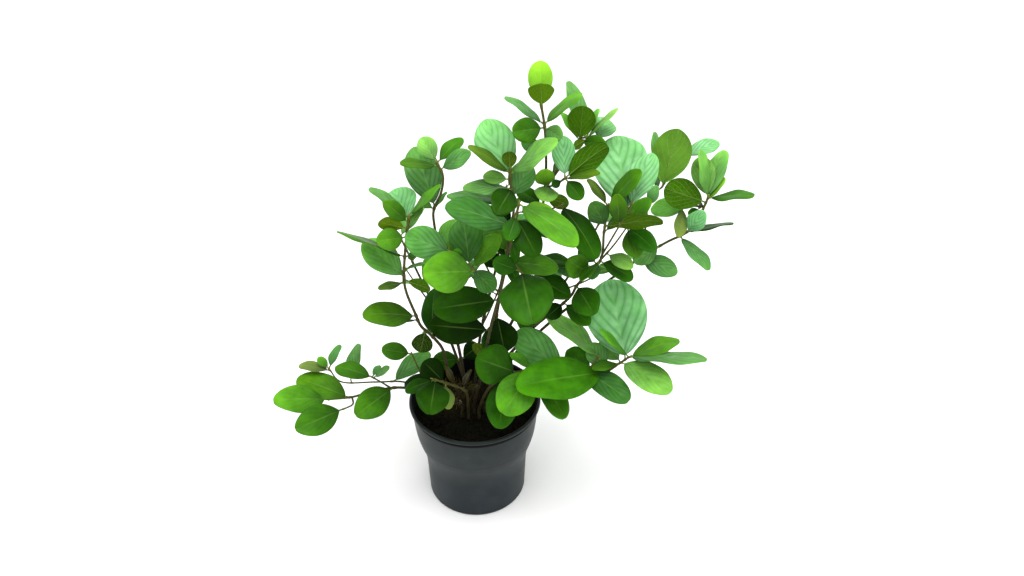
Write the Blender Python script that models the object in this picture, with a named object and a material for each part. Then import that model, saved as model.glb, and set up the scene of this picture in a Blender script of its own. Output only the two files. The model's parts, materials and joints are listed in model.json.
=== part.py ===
"""A young viburnum in a round nursery pot.

The pot is a thin moulded shell with a rolled lip, a wide collar, a narrower body and drain holes.
It holds a plug of soil, and each leafy stem stands in its own plain hole in that soil. Stems and
leaves are placed as they are seen from one point of view: a place is a pair of view coordinates,
u to the right and v down, and a depth y, which is how far behind the pot's axis it lies. Lengths
are in millimetres until a mesh is made. +Z is up, +X is to the right and +Y is away from the view.
"""
import math
import random
from collections import namedtuple

import bmesh
import bpy
from mathutils import Vector
from mathutils.bvhtree import BVHTree

MM = 0.001

# The pot
POT_HEIGHT = 133.0
RIM_RADIUS = 75.0
COLLAR_TOP_RADIUS = 72.8
COLLAR_RADIUS = 68.8
BODY_TOP_RADIUS = 59.4
BASE_RADIUS = 57.6
WALL = 1.6
LIP_HEIGHT = 4.4
LIP_ROUND = 1.8
FOOT_ROUND = 2.0
COLLAR_BOTTOM = 87.0
SHOULDER_BOTTOM = 59.0
POT_SIDES = 36
DRAIN_HOLES = 6
DRAIN_RADIUS = 5.0
DRAIN_CIRCLE = 39.0
DRAIN_SIDES = 10

# The soil
SOIL_TOP = 113.0
SOIL_UNEVEN = 1.3
SOIL_RINGS = (1.0, 0.7, 0.35)
SOIL_SPOKES = 20
CLEARANCE = 0.3
HOLE_DEPTH = 34.0
HOLE_SIDES = 6

# The stems
STEM_RADIUS = 2.1
SHOOT_TIP_RADIUS = 1.15
TWIG_RADIUS = 1.1
TWIG_TIP_RADIUS = 0.8
STEM_SIDES = 5
TWIG_SIDES = 4
STEM_STEP = 38.0
TWIG_STEP = 30.4
STRAIGHT_FROM = 4.0
STRAIGHT_TO = 14.0

# The leaves
LEAF_RATIO = 0.56
BROADEST_RATIO = 0.70
BLADE = 0.9
STALK_THICK = 1.3
STALK_WIDTH = 1.6
STALK_LENGTH = 4.5
LONGEST_STALK = 0.16
SLIMMEST_RATIO = 0.40
ARCH_SPAN = (0.03, 0.08)
FOLD_SPAN = (0.16, 0.34)
FOLD_EASE = 0.45
FOLD_SUNK = 0.28
WAVE = 0.07
WAVES = 9.0
WAVE_SHIFT = 1.7
PHASE_SPAN = (0.0, 6.28)

# A blade's outline: how far its broadest place lies towards the tip, and how full its ends are
TIPWARD = 1.10
FULL_SPAN = (0.54, 0.66)
FULLER_TIP = 0.10
ROOT_SUNK = 0.5
MARGIN = 0.7
SEED = 11

# The point of view that the shrub's places are read from
VIEW_FOCAL = 800.0
VIEW_CENTRE = (512.0, 288.0)
VIEW_FROM = Vector((42.3, -695.0, 738.0))
VIEW_PITCH = math.radians(33.3)
FORWARD = Vector((0.0, math.cos(VIEW_PITCH), -math.sin(VIEW_PITCH)))
RIGHT = Vector((1.0, 0.0, 0.0))
UPWARD = Vector((0.0, math.sin(VIEW_PITCH), math.cos(VIEW_PITCH)))

UP = Vector((0.0, 0.0, 1.0))
UPPER, UNDER = 1, -1
NEAR, FAR = 1, -1

# Each leafy stem has a foot, where it enters the soil as (x, y), a main shoot as (u, v, y) places,
# and twigs, whose first place is moved onto the shoot that carries it. A leaf is
# (base u, base v, tip u, tip v, breadth seen, face seen, which way its tip leans).
SHRUB = {
    "stem_top": {
        "foot": (3, 13),
        "main": [(500, 345, 20), (520, 305, 24), (535, 250, 24), (543, 205, 16), (546, 170, 10),
                 (545, 131, 5), (541, 104, 4)],
        "twigs": [
            [(545, 190, 0), (557, 184, 0), (565, 178, -12)],
            [(546, 186, 0), (560, 168, 32), (572, 150, 40), (582, 138, 42), (597, 140, 44)],
            [(541, 215, 0), (552, 209, 6), (561, 205, 0)],
        ],
        "leaves": [
            (541, 104, 540, 60, 25, UPPER, FAR),
            (541, 106, 541, 82, 26, UNDER, NEAR),
            (543, 125, 506, 95, 9, UPPER, FAR),
            (546, 124, 580, 91, 11, UPPER, FAR),
            (546, 129, 513, 132, 25, UPPER, NEAR),
            (547, 126, 561, 138, 18, UPPER, NEAR),
            (570, 180, 562, 135, 24, UPPER, FAR),
            (569, 180, 607, 145, 25, UNDER, FAR),
            (567, 180, 582, 199, 18, UPPER, NEAR),
            (546, 188, 544, 170, 20, UPPER, NEAR),
            (548, 184, 545, 200, 24, UPPER, NEAR),
            (546, 197, 569, 205, 15, UNDER, NEAR),
            (563, 203, 597, 258, 26, UPPER, NEAR),
            (576, 137, 583, 105, 28, UNDER, NEAR),
            (580, 141, 606, 145, 17, UPPER, NEAR),
            (600, 143, 608, 118, 26, UPPER, FAR),
            (586, 137, 597, 108, 9, UPPER, FAR),
            (588, 125, 617, 107, 5, UPPER, FAR),
            (586, 136, 572, 80, 19, UPPER, FAR),
            (577, 138, 563, 112, 9, UPPER, FAR),
            (536, 256, 571, 263, 13, UPPER, NEAR),
            (528, 275, 570, 296, 24, UPPER, NEAR),
            (544, 203, 517, 189, 16, UPPER, FAR),
            (566, 181, 600, 172, 8, UPPER, NEAR),
            (587, 149, 573, 148, 9, UNDER, NEAR),
            (549, 178, 558, 160, 5, UPPER, NEAR),
            (541, 153, 521, 141, 15, UPPER, FAR),
            (567, 188, 552, 186, 9, UPPER, FAR),
        ],
    },
    "stem_centre": {
        "foot": (-5, 3),
        "main": [(489, 365, 2), (496, 320, -4), (503, 275, -8), (514, 206, -12),
                 (510.5, 183, -12), (510, 169, -12)],
        "twigs": [],
        "leaves": [
            (522, 175, 484, 119, 41, UPPER, FAR),
            (510, 173, 469, 145, 10, UPPER, NEAR),
            (511, 174, 556, 139, 18, UPPER, NEAR),
            (510, 170, 509, 151, 15, UNDER, NEAR),
            (511, 188, 463, 187, 14, UPPER, NEAR),
            (510, 179, 483, 176, 14, UPPER, FAR),
            (513, 188, 497, 213, 27, UPPER, NEAR),
            (516, 197, 530, 163, 25, UPPER, FAR),
            (512, 262, 558, 268, 22, UPPER, NEAR),
            (503, 316, 505, 353, 33, UPPER, FAR),
            (507, 290, 518, 317, 16, UPPER, FAR),
            (510, 252, 497, 226, 20, UPPER, FAR),
            (489, 362, 474, 343, 12, UNDER, NEAR),
            (514, 262, 504, 237, 15, UPPER, FAR),
            (494, 320, 487, 352, 18, UPPER, FAR),
            (513, 204, 447, 193, 15, UPPER, FAR),
            (510, 268, 483, 255, 17, UPPER, FAR),
            (511, 222, 499, 208, 14, UPPER, FAR),
            (516, 238, 517, 262, 12, UPPER, FAR),
            (517, 262, 519, 284, 12, UPPER, FAR),
        ],
    },
    "stem_front": {
        "foot": (-1, -7),
        "main": [(482, 372, -14), (490, 330, -30), (500, 293, -46), (507, 262, -56),
                 (515, 221, -62), (519, 204, -62)],
        "twigs": [
            [(500, 293, 0), (487, 282, -58), (475, 271, -64), (461, 259, -66), (451, 252, -64)],
            [(508, 258, 0), (516, 266, -66), (523, 274, -70)],
        ],
        "leaves": [
            (519, 204, 578, 244, 27, UPPER, NEAR),
            (511, 228, 446, 204, 29, UPPER, NEAR),
            (515, 217, 537, 256, 27, UPPER, NEAR),
            (516, 212, 552, 207, 15, UPPER, FAR),
            (516, 218, 571, 240, 14, UPPER, FAR),
            (478, 268, 424, 273, 41, UPPER, NEAR),
            (470, 272, 498, 233, 21, UPPER, FAR),
            (452, 252, 405, 235, 33, UPPER, FAR),
            (474, 262, 463, 217, 35, UPPER, FAR),
            (459, 258, 456, 249, 9, UPPER, NEAR),
            (477, 262, 495, 291, 22, UPPER, FAR),
            (503, 302, 434, 309, 36, UPPER, NEAR),
            (505, 333, 428, 325, 35, UPPER, FAR),
            (521, 271, 493, 261, 21, UPPER, FAR),
            (520, 273, 532, 322, 52, UPPER, NEAR),
            (516, 214, 508, 240, 18, UPPER, NEAR),
        ],
    },
    "stem_upper_left": {
        "foot": (-10, 9),
        "main": [(461, 359, 6), (452, 318, 6), (443, 270, 6), (434.5, 226, 6), (434, 209, 8),
                 (441, 193, 10), (443, 176, 12), (437, 163, 13)],
        "twigs": [],
        "leaves": [
            (434, 163, 421, 137, 20, UPPER, FAR),
            (435, 206, 414, 146, 36, UPPER, FAR),
            (434, 168, 400, 162, 10, UPPER, NEAR),
            (436, 162, 462, 137, 15, UPPER, FAR),
            (438, 170, 470, 152, 17, UPPER, NEAR),
            (434, 209, 420, 202, 8, UPPER, FAR),
            (435, 209, 446, 191, 5, UPPER, FAR),
            (460, 361, 480, 345, 20, UPPER, FAR),
            (461, 361, 433, 361, 19, UPPER, NEAR),
            (440, 250, 455, 219, 17, UPPER, FAR),
        ],
    },
    "stem_left": {
        "foot": (-13, -1),
        "main": [(449, 373, -12), (443, 350, -18), (433, 337, -24), (421, 326, -28),
                 (415, 313, -30), (406, 291, -32), (404, 273, -32), (406, 240, -28),
                 (409, 217, -26)],
        "twigs": [],
        "leaves": [
            (407, 219, 394, 188, 36, UPPER, FAR),
            (410, 216, 371, 186, 11, UPPER, FAR),
            (410, 217, 439, 183, 8, UPPER, FAR),
            (418, 229, 378, 222, 14, UNDER, NEAR),
            (410, 238, 377, 241, 23, UPPER, NEAR),
            (406, 277, 363, 240, 31, UPPER, FAR),
            (404, 256, 338, 229, 4, UPPER, FAR),
            (406, 258, 427, 250, 8, UPPER, FAR),
            (406, 270, 426, 262, 4, UPPER, FAR),
            (405, 283, 378, 288, 8, UPPER, NEAR),
            (404, 281, 431, 289, 12, UNDER, NEAR),
            (421, 314, 363, 314, 25, UPPER, NEAR),
            (420, 318, 380, 322, 5, UPPER, NEAR),
            (436, 333, 435, 287, 23, UPPER, FAR),
            (428, 326, 420, 353, 21, UNDER, NEAR),
            (409, 223, 384, 202, 17, UPPER, FAR),
            (411, 231, 421, 206, 10, UPPER, FAR),
        ],
    },
    "spray_left": {
        "foot": (-15, -11),
        "main": [(445, 396, -16), (425, 392, -20), (406, 388, -22), (391, 388, -24),
                 (370, 392, -27), (352, 397, -29), (328, 399.5, -32)],
        "twigs": [
            [(419, 391, 0), (404, 382, -14), (375, 382, -8), (342, 382, -6), (329, 369, -4)],
            [(391, 388, 0), (381, 382, -30), (372, 377, -32)],
            [(352, 397, 0), (353, 404, -38), (346, 408, -43), (337, 411, -46)],
            [(430, 393, 0), (420, 372, -8), (412, 354, -6)],
        ],
        "leaves": [
            (412, 352, 382, 349, 18, UPPER, NEAR),
            (394, 379, 429, 351, 19, UPPER, FAR),
            (392, 387, 356, 415, 30, UPPER, NEAR),
            (372, 377, 380, 365, 7, UPPER, FAR),
            (373, 377, 389, 367, 7, UPPER, NEAR),
            (374, 377, 335, 366, 18, UPPER, FAR),
            (350, 381, 357, 343, 13, UPPER, FAR),
            (327, 368, 339, 344, 9, UPPER, FAR),
            (330, 368, 318, 357, 9, UPPER, FAR),
            (331, 369, 299, 364, 11, UPPER, FAR),
            (348, 390, 297, 377, 27, UPPER, FAR),
            (329, 401, 274, 400, 27, UPPER, NEAR),
            (343, 410, 296, 429, 30, UPPER, NEAR),
        ],
    },
    "stem_low": {
        "foot": (-7, -16),
        "main": [(466, 392, -24), (452, 385, -32), (433, 379, -40)],
        "twigs": [],
        "leaves": [
            (436, 379, 430, 413, 33, UPPER, NEAR),
            (446, 383, 449, 409, 13, UPPER, NEAR),
            (436, 381, 405, 391, 13, UPPER, NEAR),
            (444, 384, 423, 361, 24, UPPER, FAR),
            (446, 384, 404, 383, 19, UPPER, FAR),
            (455, 386, 446, 366, 6, UPPER, FAR),
            (462, 391, 470, 369, 6, UPPER, FAR),
            (464, 392, 480, 384, 5, UPPER, FAR),
        ],
    },
    "stem_low_right": {
        "foot": (5, -15),
        "main": [(489, 388, -26), (506, 377, -36), (521, 371, -44), (532, 370, -48)],
        "twigs": [],
        "leaves": [
            (519, 378, 476, 358, 41, UPPER, FAR),
            (534, 371, 503, 413, 38, UPPER, NEAR),
            (507, 377, 499, 428, 32, UPPER, NEAR),
            (532, 370, 511, 352, 10, UPPER, FAR),
        ],
    },
    "stem_right_low": {
        "foot": (11, -5),
        "main": [(505, 390, -16), (535, 378, -26), (560, 372, -31), (585, 371, -33),
                 (605, 372, -35), (620, 363, -35), (629, 357, -35)],
        "twigs": [
            [(588, 371, 0), (593, 364, -34), (598, 357, -28)],
        ],
        "leaves": [
            (624, 358, 609, 279, 62, UPPER, FAR),
            (628, 355, 601, 329, 7, UPPER, NEAR),
            (632, 350, 679, 338, 18, UPPER, FAR),
            (630, 347, 707, 357, 12, UPPER, NEAR),
            (622, 363, 671, 391, 28, UPPER, NEAR),
            (611, 350, 547, 309, 20, UPPER, FAR),
            (604, 383, 517, 385, 42, UPPER, NEAR),
            (562, 372, 516, 331, 35, UPPER, FAR),
            (540, 377, 565, 418, 24, UPPER, NEAR),
            (584, 372, 629, 400, 26, UPPER, NEAR),
            (592, 371, 566, 350, 24, UPPER, FAR),
            (607, 371, 590, 343, 22, UPPER, FAR),
            (621, 363, 600, 340, 20, UPPER, FAR),
            (618, 359, 592, 368, 10, UPPER, NEAR),
        ],
    },
    "stem_right": {
        "foot": (11, 5),
        "main": [(502, 365, 6), (534, 327, 6), (568, 299, 6), (578, 284, 4), (600, 261, 0),
                 (604, 232, -6), (608, 206, -10)],
        "twigs": [
            [(601, 256, 0), (618, 228, -20), (632, 204, -22)],
            [(596, 266, 0), (613, 246, 8), (627, 227, 10)],
        ],
        "leaves": [
            (603, 226, 593, 203, 22, UPPER, NEAR),
            (612, 207, 589, 178, 9, UPPER, FAR),
            (613, 208, 640, 170, 17, UPPER, NEAR),
            (629, 211, 615, 134, 57, UPPER, FAR),
            (638, 210, 652, 152, 30, UPPER, FAR),
            (610, 227, 663, 219, 15, UNDER, NEAR),
            (637, 225, 638, 257, 22, UPPER, NEAR),
            (640, 226, 655, 250, 19, UPPER, NEAR),
            (606, 252, 633, 267, 15, UPPER, NEAR),
            (600, 262, 634, 278, 18, UPPER, FAR),
            (589, 275, 568, 261, 26, UPPER, NEAR),
            (584, 278, 553, 262, 16, UPPER, FAR),
            (597, 265, 581, 245, 20, UPPER, FAR),
            (574, 284, 594, 314, 29, UPPER, NEAR),
            (565, 302, 590, 324, 18, UPPER, NEAR),
            (561, 296, 547, 317, 17, UPPER, NEAR),
            (599, 262, 590, 279, 12, UPPER, NEAR),
            (621, 226, 617, 195, 18, UPPER, NEAR),
            (632, 221, 649, 197, 17, UPPER, FAR),
            (607, 231, 633, 208, 14, UPPER, FAR),
            (612, 272, 580, 280, 9, UPPER, FAR),
        ],
    },
    "stem_far_right": {
        "foot": (9, 15),
        "main": [(498, 372, 18), (525, 345, 32), (565, 310, 38), (605, 283, 34), (640, 258, 26),
                 (667, 242, 20), (687, 232, 16), (700, 215, 14), (708, 198, 12)],
        "twigs": [
            [(640, 258, 0), (646, 225, 30), (649, 200, 32), (662, 187, 26)],
            [(662, 187, 0), (672, 172, 30), (684, 156, 32)],
            [(704, 207, 0), (693, 206, 22), (683, 206, 24)],
        ],
        "leaves": [
            (664, 187, 679, 128, 38, UNDER, NEAR),
            (657, 193, 658, 132, 12, UPPER, FAR),
            (684, 153, 719, 141, 16, UPPER, FAR),
            (709, 198, 702, 150, 11, UPPER, NEAR),
            (709, 199, 700, 156, 24, UPPER, FAR),
            (706, 203, 723, 176, 12, UPPER, FAR),
            (708, 196, 754, 194, 9, UPPER, NEAR),
            (713, 206, 664, 188, 31, UNDER, NEAR),
            (690, 207, 650, 209, 20, UPPER, FAR),
            (682, 207, 679, 237, 13, UPPER, NEAR),
            (687, 232, 704, 212, 19, UPPER, NEAR),
            (688, 232, 733, 221, 5, UPPER, FAR),
            (680, 237, 710, 269, 13, UPPER, NEAR),
            (645, 207, 657, 186, 12, UPPER, NEAR),
            (660, 247, 634, 262, 19, UPPER, NEAR),
            (640, 258, 677, 273, 21, UPPER, NEAR),
            (711, 196, 722, 149, 22, UPPER, FAR),
            (705, 212, 688, 214, 10, UPPER, FAR),
            (712, 210, 698, 205, 8, UPPER, FAR),
        ],
    },
}

# The stems behind, which the view doesn't reach: each has a foot and shoots through (x, y, z)
BACK_STEMS = {
    "stem_back_left": {
        "foot": (-9, 18),
        "main": [(-28, 50, 170), (-58, 78, 230), (-84, 92, 290)],
        "twigs": [[(-28, 50, 170), (-22, 78, 205), (-30, 104, 250)],
                  [(-44, 66, 204), (-66, 84, 226), (-82, 98, 244)]],
    },
    "stem_back": {
        "foot": (-1, 21),
        "main": [(6, 52, 185), (24, 84, 255), (34, 96, 320), (36, 96, 350)],
        "twigs": [[(8, 58, 195), (28, 96, 222), (34, 128, 262)],
                  [(20, 80, 240), (2, 104, 268), (-10, 112, 292)]],
    },
    "stem_back_right": {
        "foot": (17, 13),
        "main": [(52, 46, 170), (96, 78, 225), (126, 92, 275), (140, 96, 305)],
        "twigs": [[(52, 46, 170), (76, 84, 192), (90, 116, 222)],
                  [(96, 78, 225), (134, 84, 240), (164, 92, 262)]],
    },
}
PAIR_SPACING = 32.0
FIRST_PAIR = 0.34
PAIR_TURN = math.radians(90.0)
LEAF_TURN = 0.6
BACK_LENGTHS = (40.0, 60.0)
BACK_RATIOS = (0.52, 0.6)
BACK_ANGLE = math.radians(58.0)
BACK_SWING = 0.25
LONGEST_PUSH = 90.0
SWING_PER_PUSH = 0.012
CLEAR_OF_BLADE = 3.0
HIDDEN_AT = ((0.25, 0.0), (0.5, 0.9), (0.5, -0.9), (0.75, 0.9), (0.75, -0.9), (0.98, 0.0))

# How finely a leaf is cut, by its length: the rows of points along it and those across it
LEAF_GRIDS = (
    (80.0, (0.0, 0.13, 0.38, 0.68, 0.91), (-1.0, 0.0, 1.0)),
    (59.0, (0.0, 0.17, 0.50, 0.86), (-1.0, 0.0, 1.0)),
    (42.0, (0.0, 0.22, 0.76), (-1.0, 0.0, 1.0)),
    (0.0, (0.24, 0.76), (-1.0, 1.0)),
)

Leaf = namedtuple("Leaf", "root chord side normal length width arch fold phase full")


def view_of(point):
    """The view coordinates of a point, with its distance along the view."""
    away = point - VIEW_FROM
    depth = away.dot(FORWARD)
    u = VIEW_CENTRE[0] + VIEW_FOCAL * away.dot(RIGHT) / depth
    v = VIEW_CENTRE[1] - VIEW_FOCAL * away.dot(UPWARD) / depth
    return u, v, depth


def sight_line(u, v):
    """The direction in which the view coordinates are seen."""
    across = (u - VIEW_CENTRE[0]) / VIEW_FOCAL
    down = (v - VIEW_CENTRE[1]) / VIEW_FOCAL
    return (FORWARD + RIGHT * across - UPWARD * down).normalized()


def place(u, v, y):
    """The point that is seen at (u, v) and lies y behind the pot's axis."""
    sight = sight_line(u, v)
    return VIEW_FROM + sight * ((y - VIEW_FROM.y) / sight.y)


def smooth_path(points, step):
    """Points a step apart along a smooth curve through the given ones."""
    ends = [points[0] * 2 - points[1]] + points + [points[-1] * 2 - points[-2]]
    path = []
    for before, start, end, after in zip(ends, ends[1:], ends[2:], ends[3:]):
        pieces = max(1, round((end - start).length / step))
        for k in range(pieces):
            t = k / pieces
            bend = (before * -1 + start * 3 - end * 3 + after) * t ** 3
            bend += (before * 2 - start * 5 + end * 4 - after) * t ** 2
            path.append((bend + (end - before) * t) * 0.5 + start)
    return path + [points[-1]]


def nearest_on(paths, u, v):
    """The point on the paths that is seen nearest to (u, v)."""
    best = None
    for path in paths:
        for start, end in zip(path, path[1:]):
            for k in range(9):
                point = start.lerp(end, k / 8)
                seen_u, seen_v, _ = view_of(point)
                miss = math.hypot(seen_u - u, seen_v - v)
                if best is None or miss < best[0]:
                    best = (miss, point)
    return best[1]


def main_path(foot, points):
    """A main shoot: straight up out of its hole in the soil, then through its points."""
    x, y = foot
    buried = Vector((x, y, SOIL_TOP - HOLE_DEPTH + CLEARANCE))
    rise = [Vector((x, y, SOIL_TOP + height)) for height in (STRAIGHT_FROM, STRAIGHT_TO)]
    return [buried] + smooth_path(rise + points, STEM_STEP)


def tube_mesh(path, start_radius, end_radius, sides):
    """A closed round tube along a path, as vertices and faces."""
    vertices, faces = [], []
    normal = (path[1] - path[0]).orthogonal().normalized()
    for k, point in enumerate(path):
        ahead = path[min(k + 1, len(path) - 1)] - path[max(k - 1, 0)]
        tangent = ahead.normalized()
        normal = (normal - tangent * normal.dot(tangent)).normalized()
        across = tangent.cross(normal)
        radius = start_radius + (end_radius - start_radius) * k / (len(path) - 1)
        for j in range(sides):
            turn = 2 * math.pi * j / sides
            vertices.append(point + (normal * math.cos(turn) + across * math.sin(turn)) * radius)
    for k in range(len(path) - 1):
        for j in range(sides):
            a, b = k * sides + j, k * sides + (j + 1) % sides
            faces.append((a, b, b + sides, a + sides))
    faces.append(tuple(reversed(range(sides))))
    faces.append(tuple(range(len(vertices) - sides, len(vertices))))
    return vertices, faces


def half_width(leaf, x):
    """Half the blade's width, from its base at 0 to its tip at 1."""
    if x <= 0.0:
        return STALK_WIDTH / 2
    bow = math.sin(math.pi * min(x, 1.0) ** TIPWARD)
    fullness = leaf.full - FULLER_TIP * x
    return max(leaf.width / 2 * max(bow, 0.0) ** fullness, STALK_WIDTH / 2 * (1 - x))


def leaf_point(leaf, s, t):
    """A point of the upper face: s runs from root to tip, t from edge to edge."""
    stalk = min(LONGEST_STALK, STALK_LENGTH / leaf.length)
    x = (s - stalk) / (1 - stalk)
    half = half_width(leaf, x)
    y = half * t
    arch = leaf.arch * leaf.length * 4 * s * (1 - s)
    fold = leaf.fold * half * (abs(t) - FOLD_EASE * t * t - FOLD_SUNK)
    other_side = WAVE_SHIFT if t > 0 else 0.0
    wave = WAVE * half * t * t * math.sin(WAVES * x + leaf.phase + other_side)
    return leaf.root + leaf.chord * (s * leaf.length) + leaf.side * y + leaf.normal * (
        arch + fold + wave)


def leaf_mesh(leaf, from_stalk=True, thicker=0.0):
    """The closed solid of a leaf: an upper and a lower face, triangulated alike, and an edge."""
    stalk = min(LONGEST_STALK, STALK_LENGTH / leaf.length)
    along, across = next(grid for least, *grid in LEAF_GRIDS if leaf.length >= least)
    rows = [(stalk + (1 - stalk) * x, across if x else (-1.0, 1.0)) for x in along]
    rows += [(1.0, (0.0,))]
    if from_stalk:
        rows = [(-ROOT_SUNK / leaf.length, (-1.0, 1.0))] + rows
    elif along[0] == 0.0:
        rows = rows[1:]
    upper, lower, index = [], [], []
    for s, across in rows:
        thick = (STALK_THICK if s <= stalk else BLADE) + thicker
        index.append([len(upper) + k for k in range(len(across))])
        for t in across:
            point = leaf_point(leaf, s, t)
            upper.append(point + leaf.normal * thicker * 0.5)
            lower.append(point + leaf.normal * (thicker * 0.5 - thick))
    count = len(upper)
    tops = []
    for near, far in zip(index, index[1:]):
        if len(near) == 2 and len(far) == 2:
            tops += [(near[0], near[1], far[1]), (near[0], far[1], far[0])]
        elif len(near) == 2 and len(far) == 3:
            tops += [(near[0], near[1], far[1]), (near[0], far[1], far[0]),
                     (near[1], far[2], far[1])]
        elif len(far) == 1:
            tops += [(a, b, far[0]) for a, b in zip(near, near[1:])]
        else:
            tops += [(near[0], near[1], far[1]), (near[0], far[1], far[0]),
                     (near[1], near[2], far[1]), (near[2], far[2], far[1])]
    faces = list(tops)
    faces += [(a + count, c + count, b + count) for a, b, c in tops]
    left = [row[0] for row in index]
    right = [row[-1] for row in index]
    outline = index[0] + right[1:] + left[-2:0:-1]
    for a, b in zip(outline, outline[1:] + outline[:1]):
        faces.append((b, a, a + count))
        faces.append((b, a + count, b + count))
    return upper + lower, faces


def aim_leaf(root, tip, length_seen, breadth, face, turn, number):
    """A leaf from root to tip, rolled so that it shows its face as broad as it is seen."""
    _, _, depth = view_of(root)
    scale = depth / VIEW_FOCAL
    chord = tip - root
    length = chord.length
    chord = chord.normalized()
    natural = max(breadth * scale, LEAF_RATIO * max(length_seen * scale, breadth * scale))
    width = max(natural, SLIMMEST_RATIO * length)
    to_view = VIEW_FROM - (root + tip) / 2
    facing = (to_view - chord * to_view.dot(chord)).normalized()
    tilt = math.acos(min(1.0, breadth * scale / width))
    choices = []
    for sign in (1, -1):
        angle = tilt * sign + turn
        normal = facing * (math.cos(angle) * face) + chord.cross(facing) * math.sin(angle)
        choices.append(normal)
    normal = max(choices, key=lambda n: n.z)
    arch, fold, phase, full = character(number)
    open_to_view = min(1.0, breadth * scale / width)
    return Leaf(root, chord, normal.cross(chord), normal, length, width,
                arch * open_to_view, fold * open_to_view, phase, full)


def character(number):
    """The arch, fold, wave and fullness of a leaf, drawn from its number."""
    draw = random.Random(SEED * 1000 + number)
    return [draw.uniform(*span) for span in (ARCH_SPAN, FOLD_SPAN, PHASE_SPAN, FULL_SPAN)]


def seen_leaf(paths, spec, push, turn, number):
    """A leaf from its places in the view, its tip pushed along the line of sight."""
    base_u, base_v, tip_u, tip_v, breadth, face, lean = spec
    root = nearest_on(paths, base_u, base_v)
    root_u, root_v, depth = view_of(root)
    scale = depth / VIEW_FOCAL
    seen = math.hypot(tip_u - root_u, tip_v - root_v)
    length = max(seen * 1.04, breadth / BROADEST_RATIO) * scale
    sight = sight_line(tip_u, tip_v)
    reach = (root - VIEW_FROM).dot(sight)
    miss = (root - VIEW_FROM - sight * reach).length
    half_chord = math.sqrt(max(length * length - miss * miss, 0.0))
    tip = VIEW_FROM + sight * (reach - lean * half_chord + push)
    return aim_leaf(root, tip, seen, breadth, face, turn, number)


class Thicket:
    """What has grown so far: each blade and shoot, with the node that it belongs to."""

    def __init__(self):
        self.pieces = []

    def add(self, node, whole, blade):
        corners = [[f(v[k] for v in whole[0]) for k in range(3)] for f in (min, max)]
        self.pieces.append((node, corners, BVHTree.FromPolygons(*whole),
                            blade and BVHTree.FromPolygons(*blade)))

    def touches(self, node, whole, blade):
        """How many pieces a fattened leaf would cross."""
        low, high = [[f(v[k] for v in whole[0]) for k in range(3)] for f in (min, max)]
        trees = None
        crossed = 0
        for other, corners, tree, blade_tree in self.pieces:
            if any(low[k] > corners[1][k] or high[k] < corners[0][k] for k in range(3)):
                continue
            if trees is None:
                trees = BVHTree.FromPolygons(*whole), BVHTree.FromPolygons(*blade)
            if other != node:
                crossed += bool(trees[0].overlap(tree))
            elif blade_tree is not None:
                crossed += bool(trees[1].overlap(blade_tree))
            else:
                crossed += bool(trees[1].overlap(tree))
        return crossed


# Tried in turn until a leaf is clear of the rest: its tip goes nearer or further along the line of
# sight, where the view doesn't show it, and the blade rolls a little about its own length
PUSHES = (0, -8, 8, -16, 16, -25, 25, -35, 35, -46, 46)
TURNS = tuple(math.radians(angle) for angle in (0, 14, -14, 28, -28))


def grow(thicket, node, make):
    """The first clear leaf that make(push, turn) gives, or the one that crosses least."""
    best = None
    for turn in TURNS:
        for push in PUSHES:
            leaf = make(push, turn)
            if leaf is None:
                continue
            crossed = thicket.touches(node, leaf_mesh(leaf, True, MARGIN * 2),
                                      leaf_mesh(leaf, False, MARGIN * 2))
            if best is None or crossed < best[0]:
                best = (crossed, leaf)
            if crossed == 0:
                break
        if best and best[0] == 0:
            break
    if best is None:
        return None
    thicket.add(node, leaf_mesh(best[1]), leaf_mesh(best[1], False))
    return best


def shoots_of(stem, seen):
    """The paths of a stem's main shoot and its twigs, the main one first."""
    points = [place(*p) if seen else Vector(p) for p in stem["main"]]
    paths = [main_path(stem["foot"], points)]
    for twig in stem["twigs"]:
        points = [place(*p) if seen else Vector(p) for p in twig]
        u, v = twig[0][:2] if seen else view_of(points[0])[:2]
        points[0] = nearest_on(paths, u, v)
        paths.append(smooth_path(points, TWIG_STEP))
    return paths


def back_leaves(paths):
    """Pairs of leaves along the back shoots, each pair turned a quarter from the last."""
    leaves = []
    for path in paths:
        total = sum((b - a).length for a, b in zip(path, path[1:]))
        reach = total
        turn = LEAF_TURN * len(leaves)
        while reach > total * FIRST_PAIR:
            walked = 0.0
            for start, end in zip(path, path[1:]):
                span = (end - start).length
                if walked + span >= reach - 0.001:
                    break
                walked += span
            point = start.lerp(end, (reach - walked) / span)
            along = (end - start).normalized()
            across = along.orthogonal().normalized()
            for half in (0.0, math.pi):
                angle = turn + half
                out = across * math.cos(angle) + along.cross(across) * math.sin(angle)
                leaves.append((point, along, out))
            turn += PAIR_TURN
            reach -= PAIR_SPACING
    return leaves


def back_leaf(point, along, out, number, push, turn):
    """A leaf of the back, standing out from its shoot with its upper face to the light."""
    draw = random.Random(SEED * 77 + number)
    length = draw.uniform(*BACK_LENGTHS) * (1 - abs(push) / LONGEST_PUSH)
    angle = BACK_ANGLE + draw.uniform(-BACK_SWING, BACK_SWING) + push * SWING_PER_PUSH
    chord = (along * math.cos(angle) + out * math.sin(angle)).normalized()
    light = (along + UP * 0.8).normalized()
    normal = (light - chord * light.dot(chord)).normalized()
    side = normal.cross(chord)
    normal = normal * math.cos(turn) + side * math.sin(turn)
    return Leaf(point, chord, normal.cross(chord), normal, length,
                length * draw.uniform(*BACK_RATIOS), *character(number))


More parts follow.
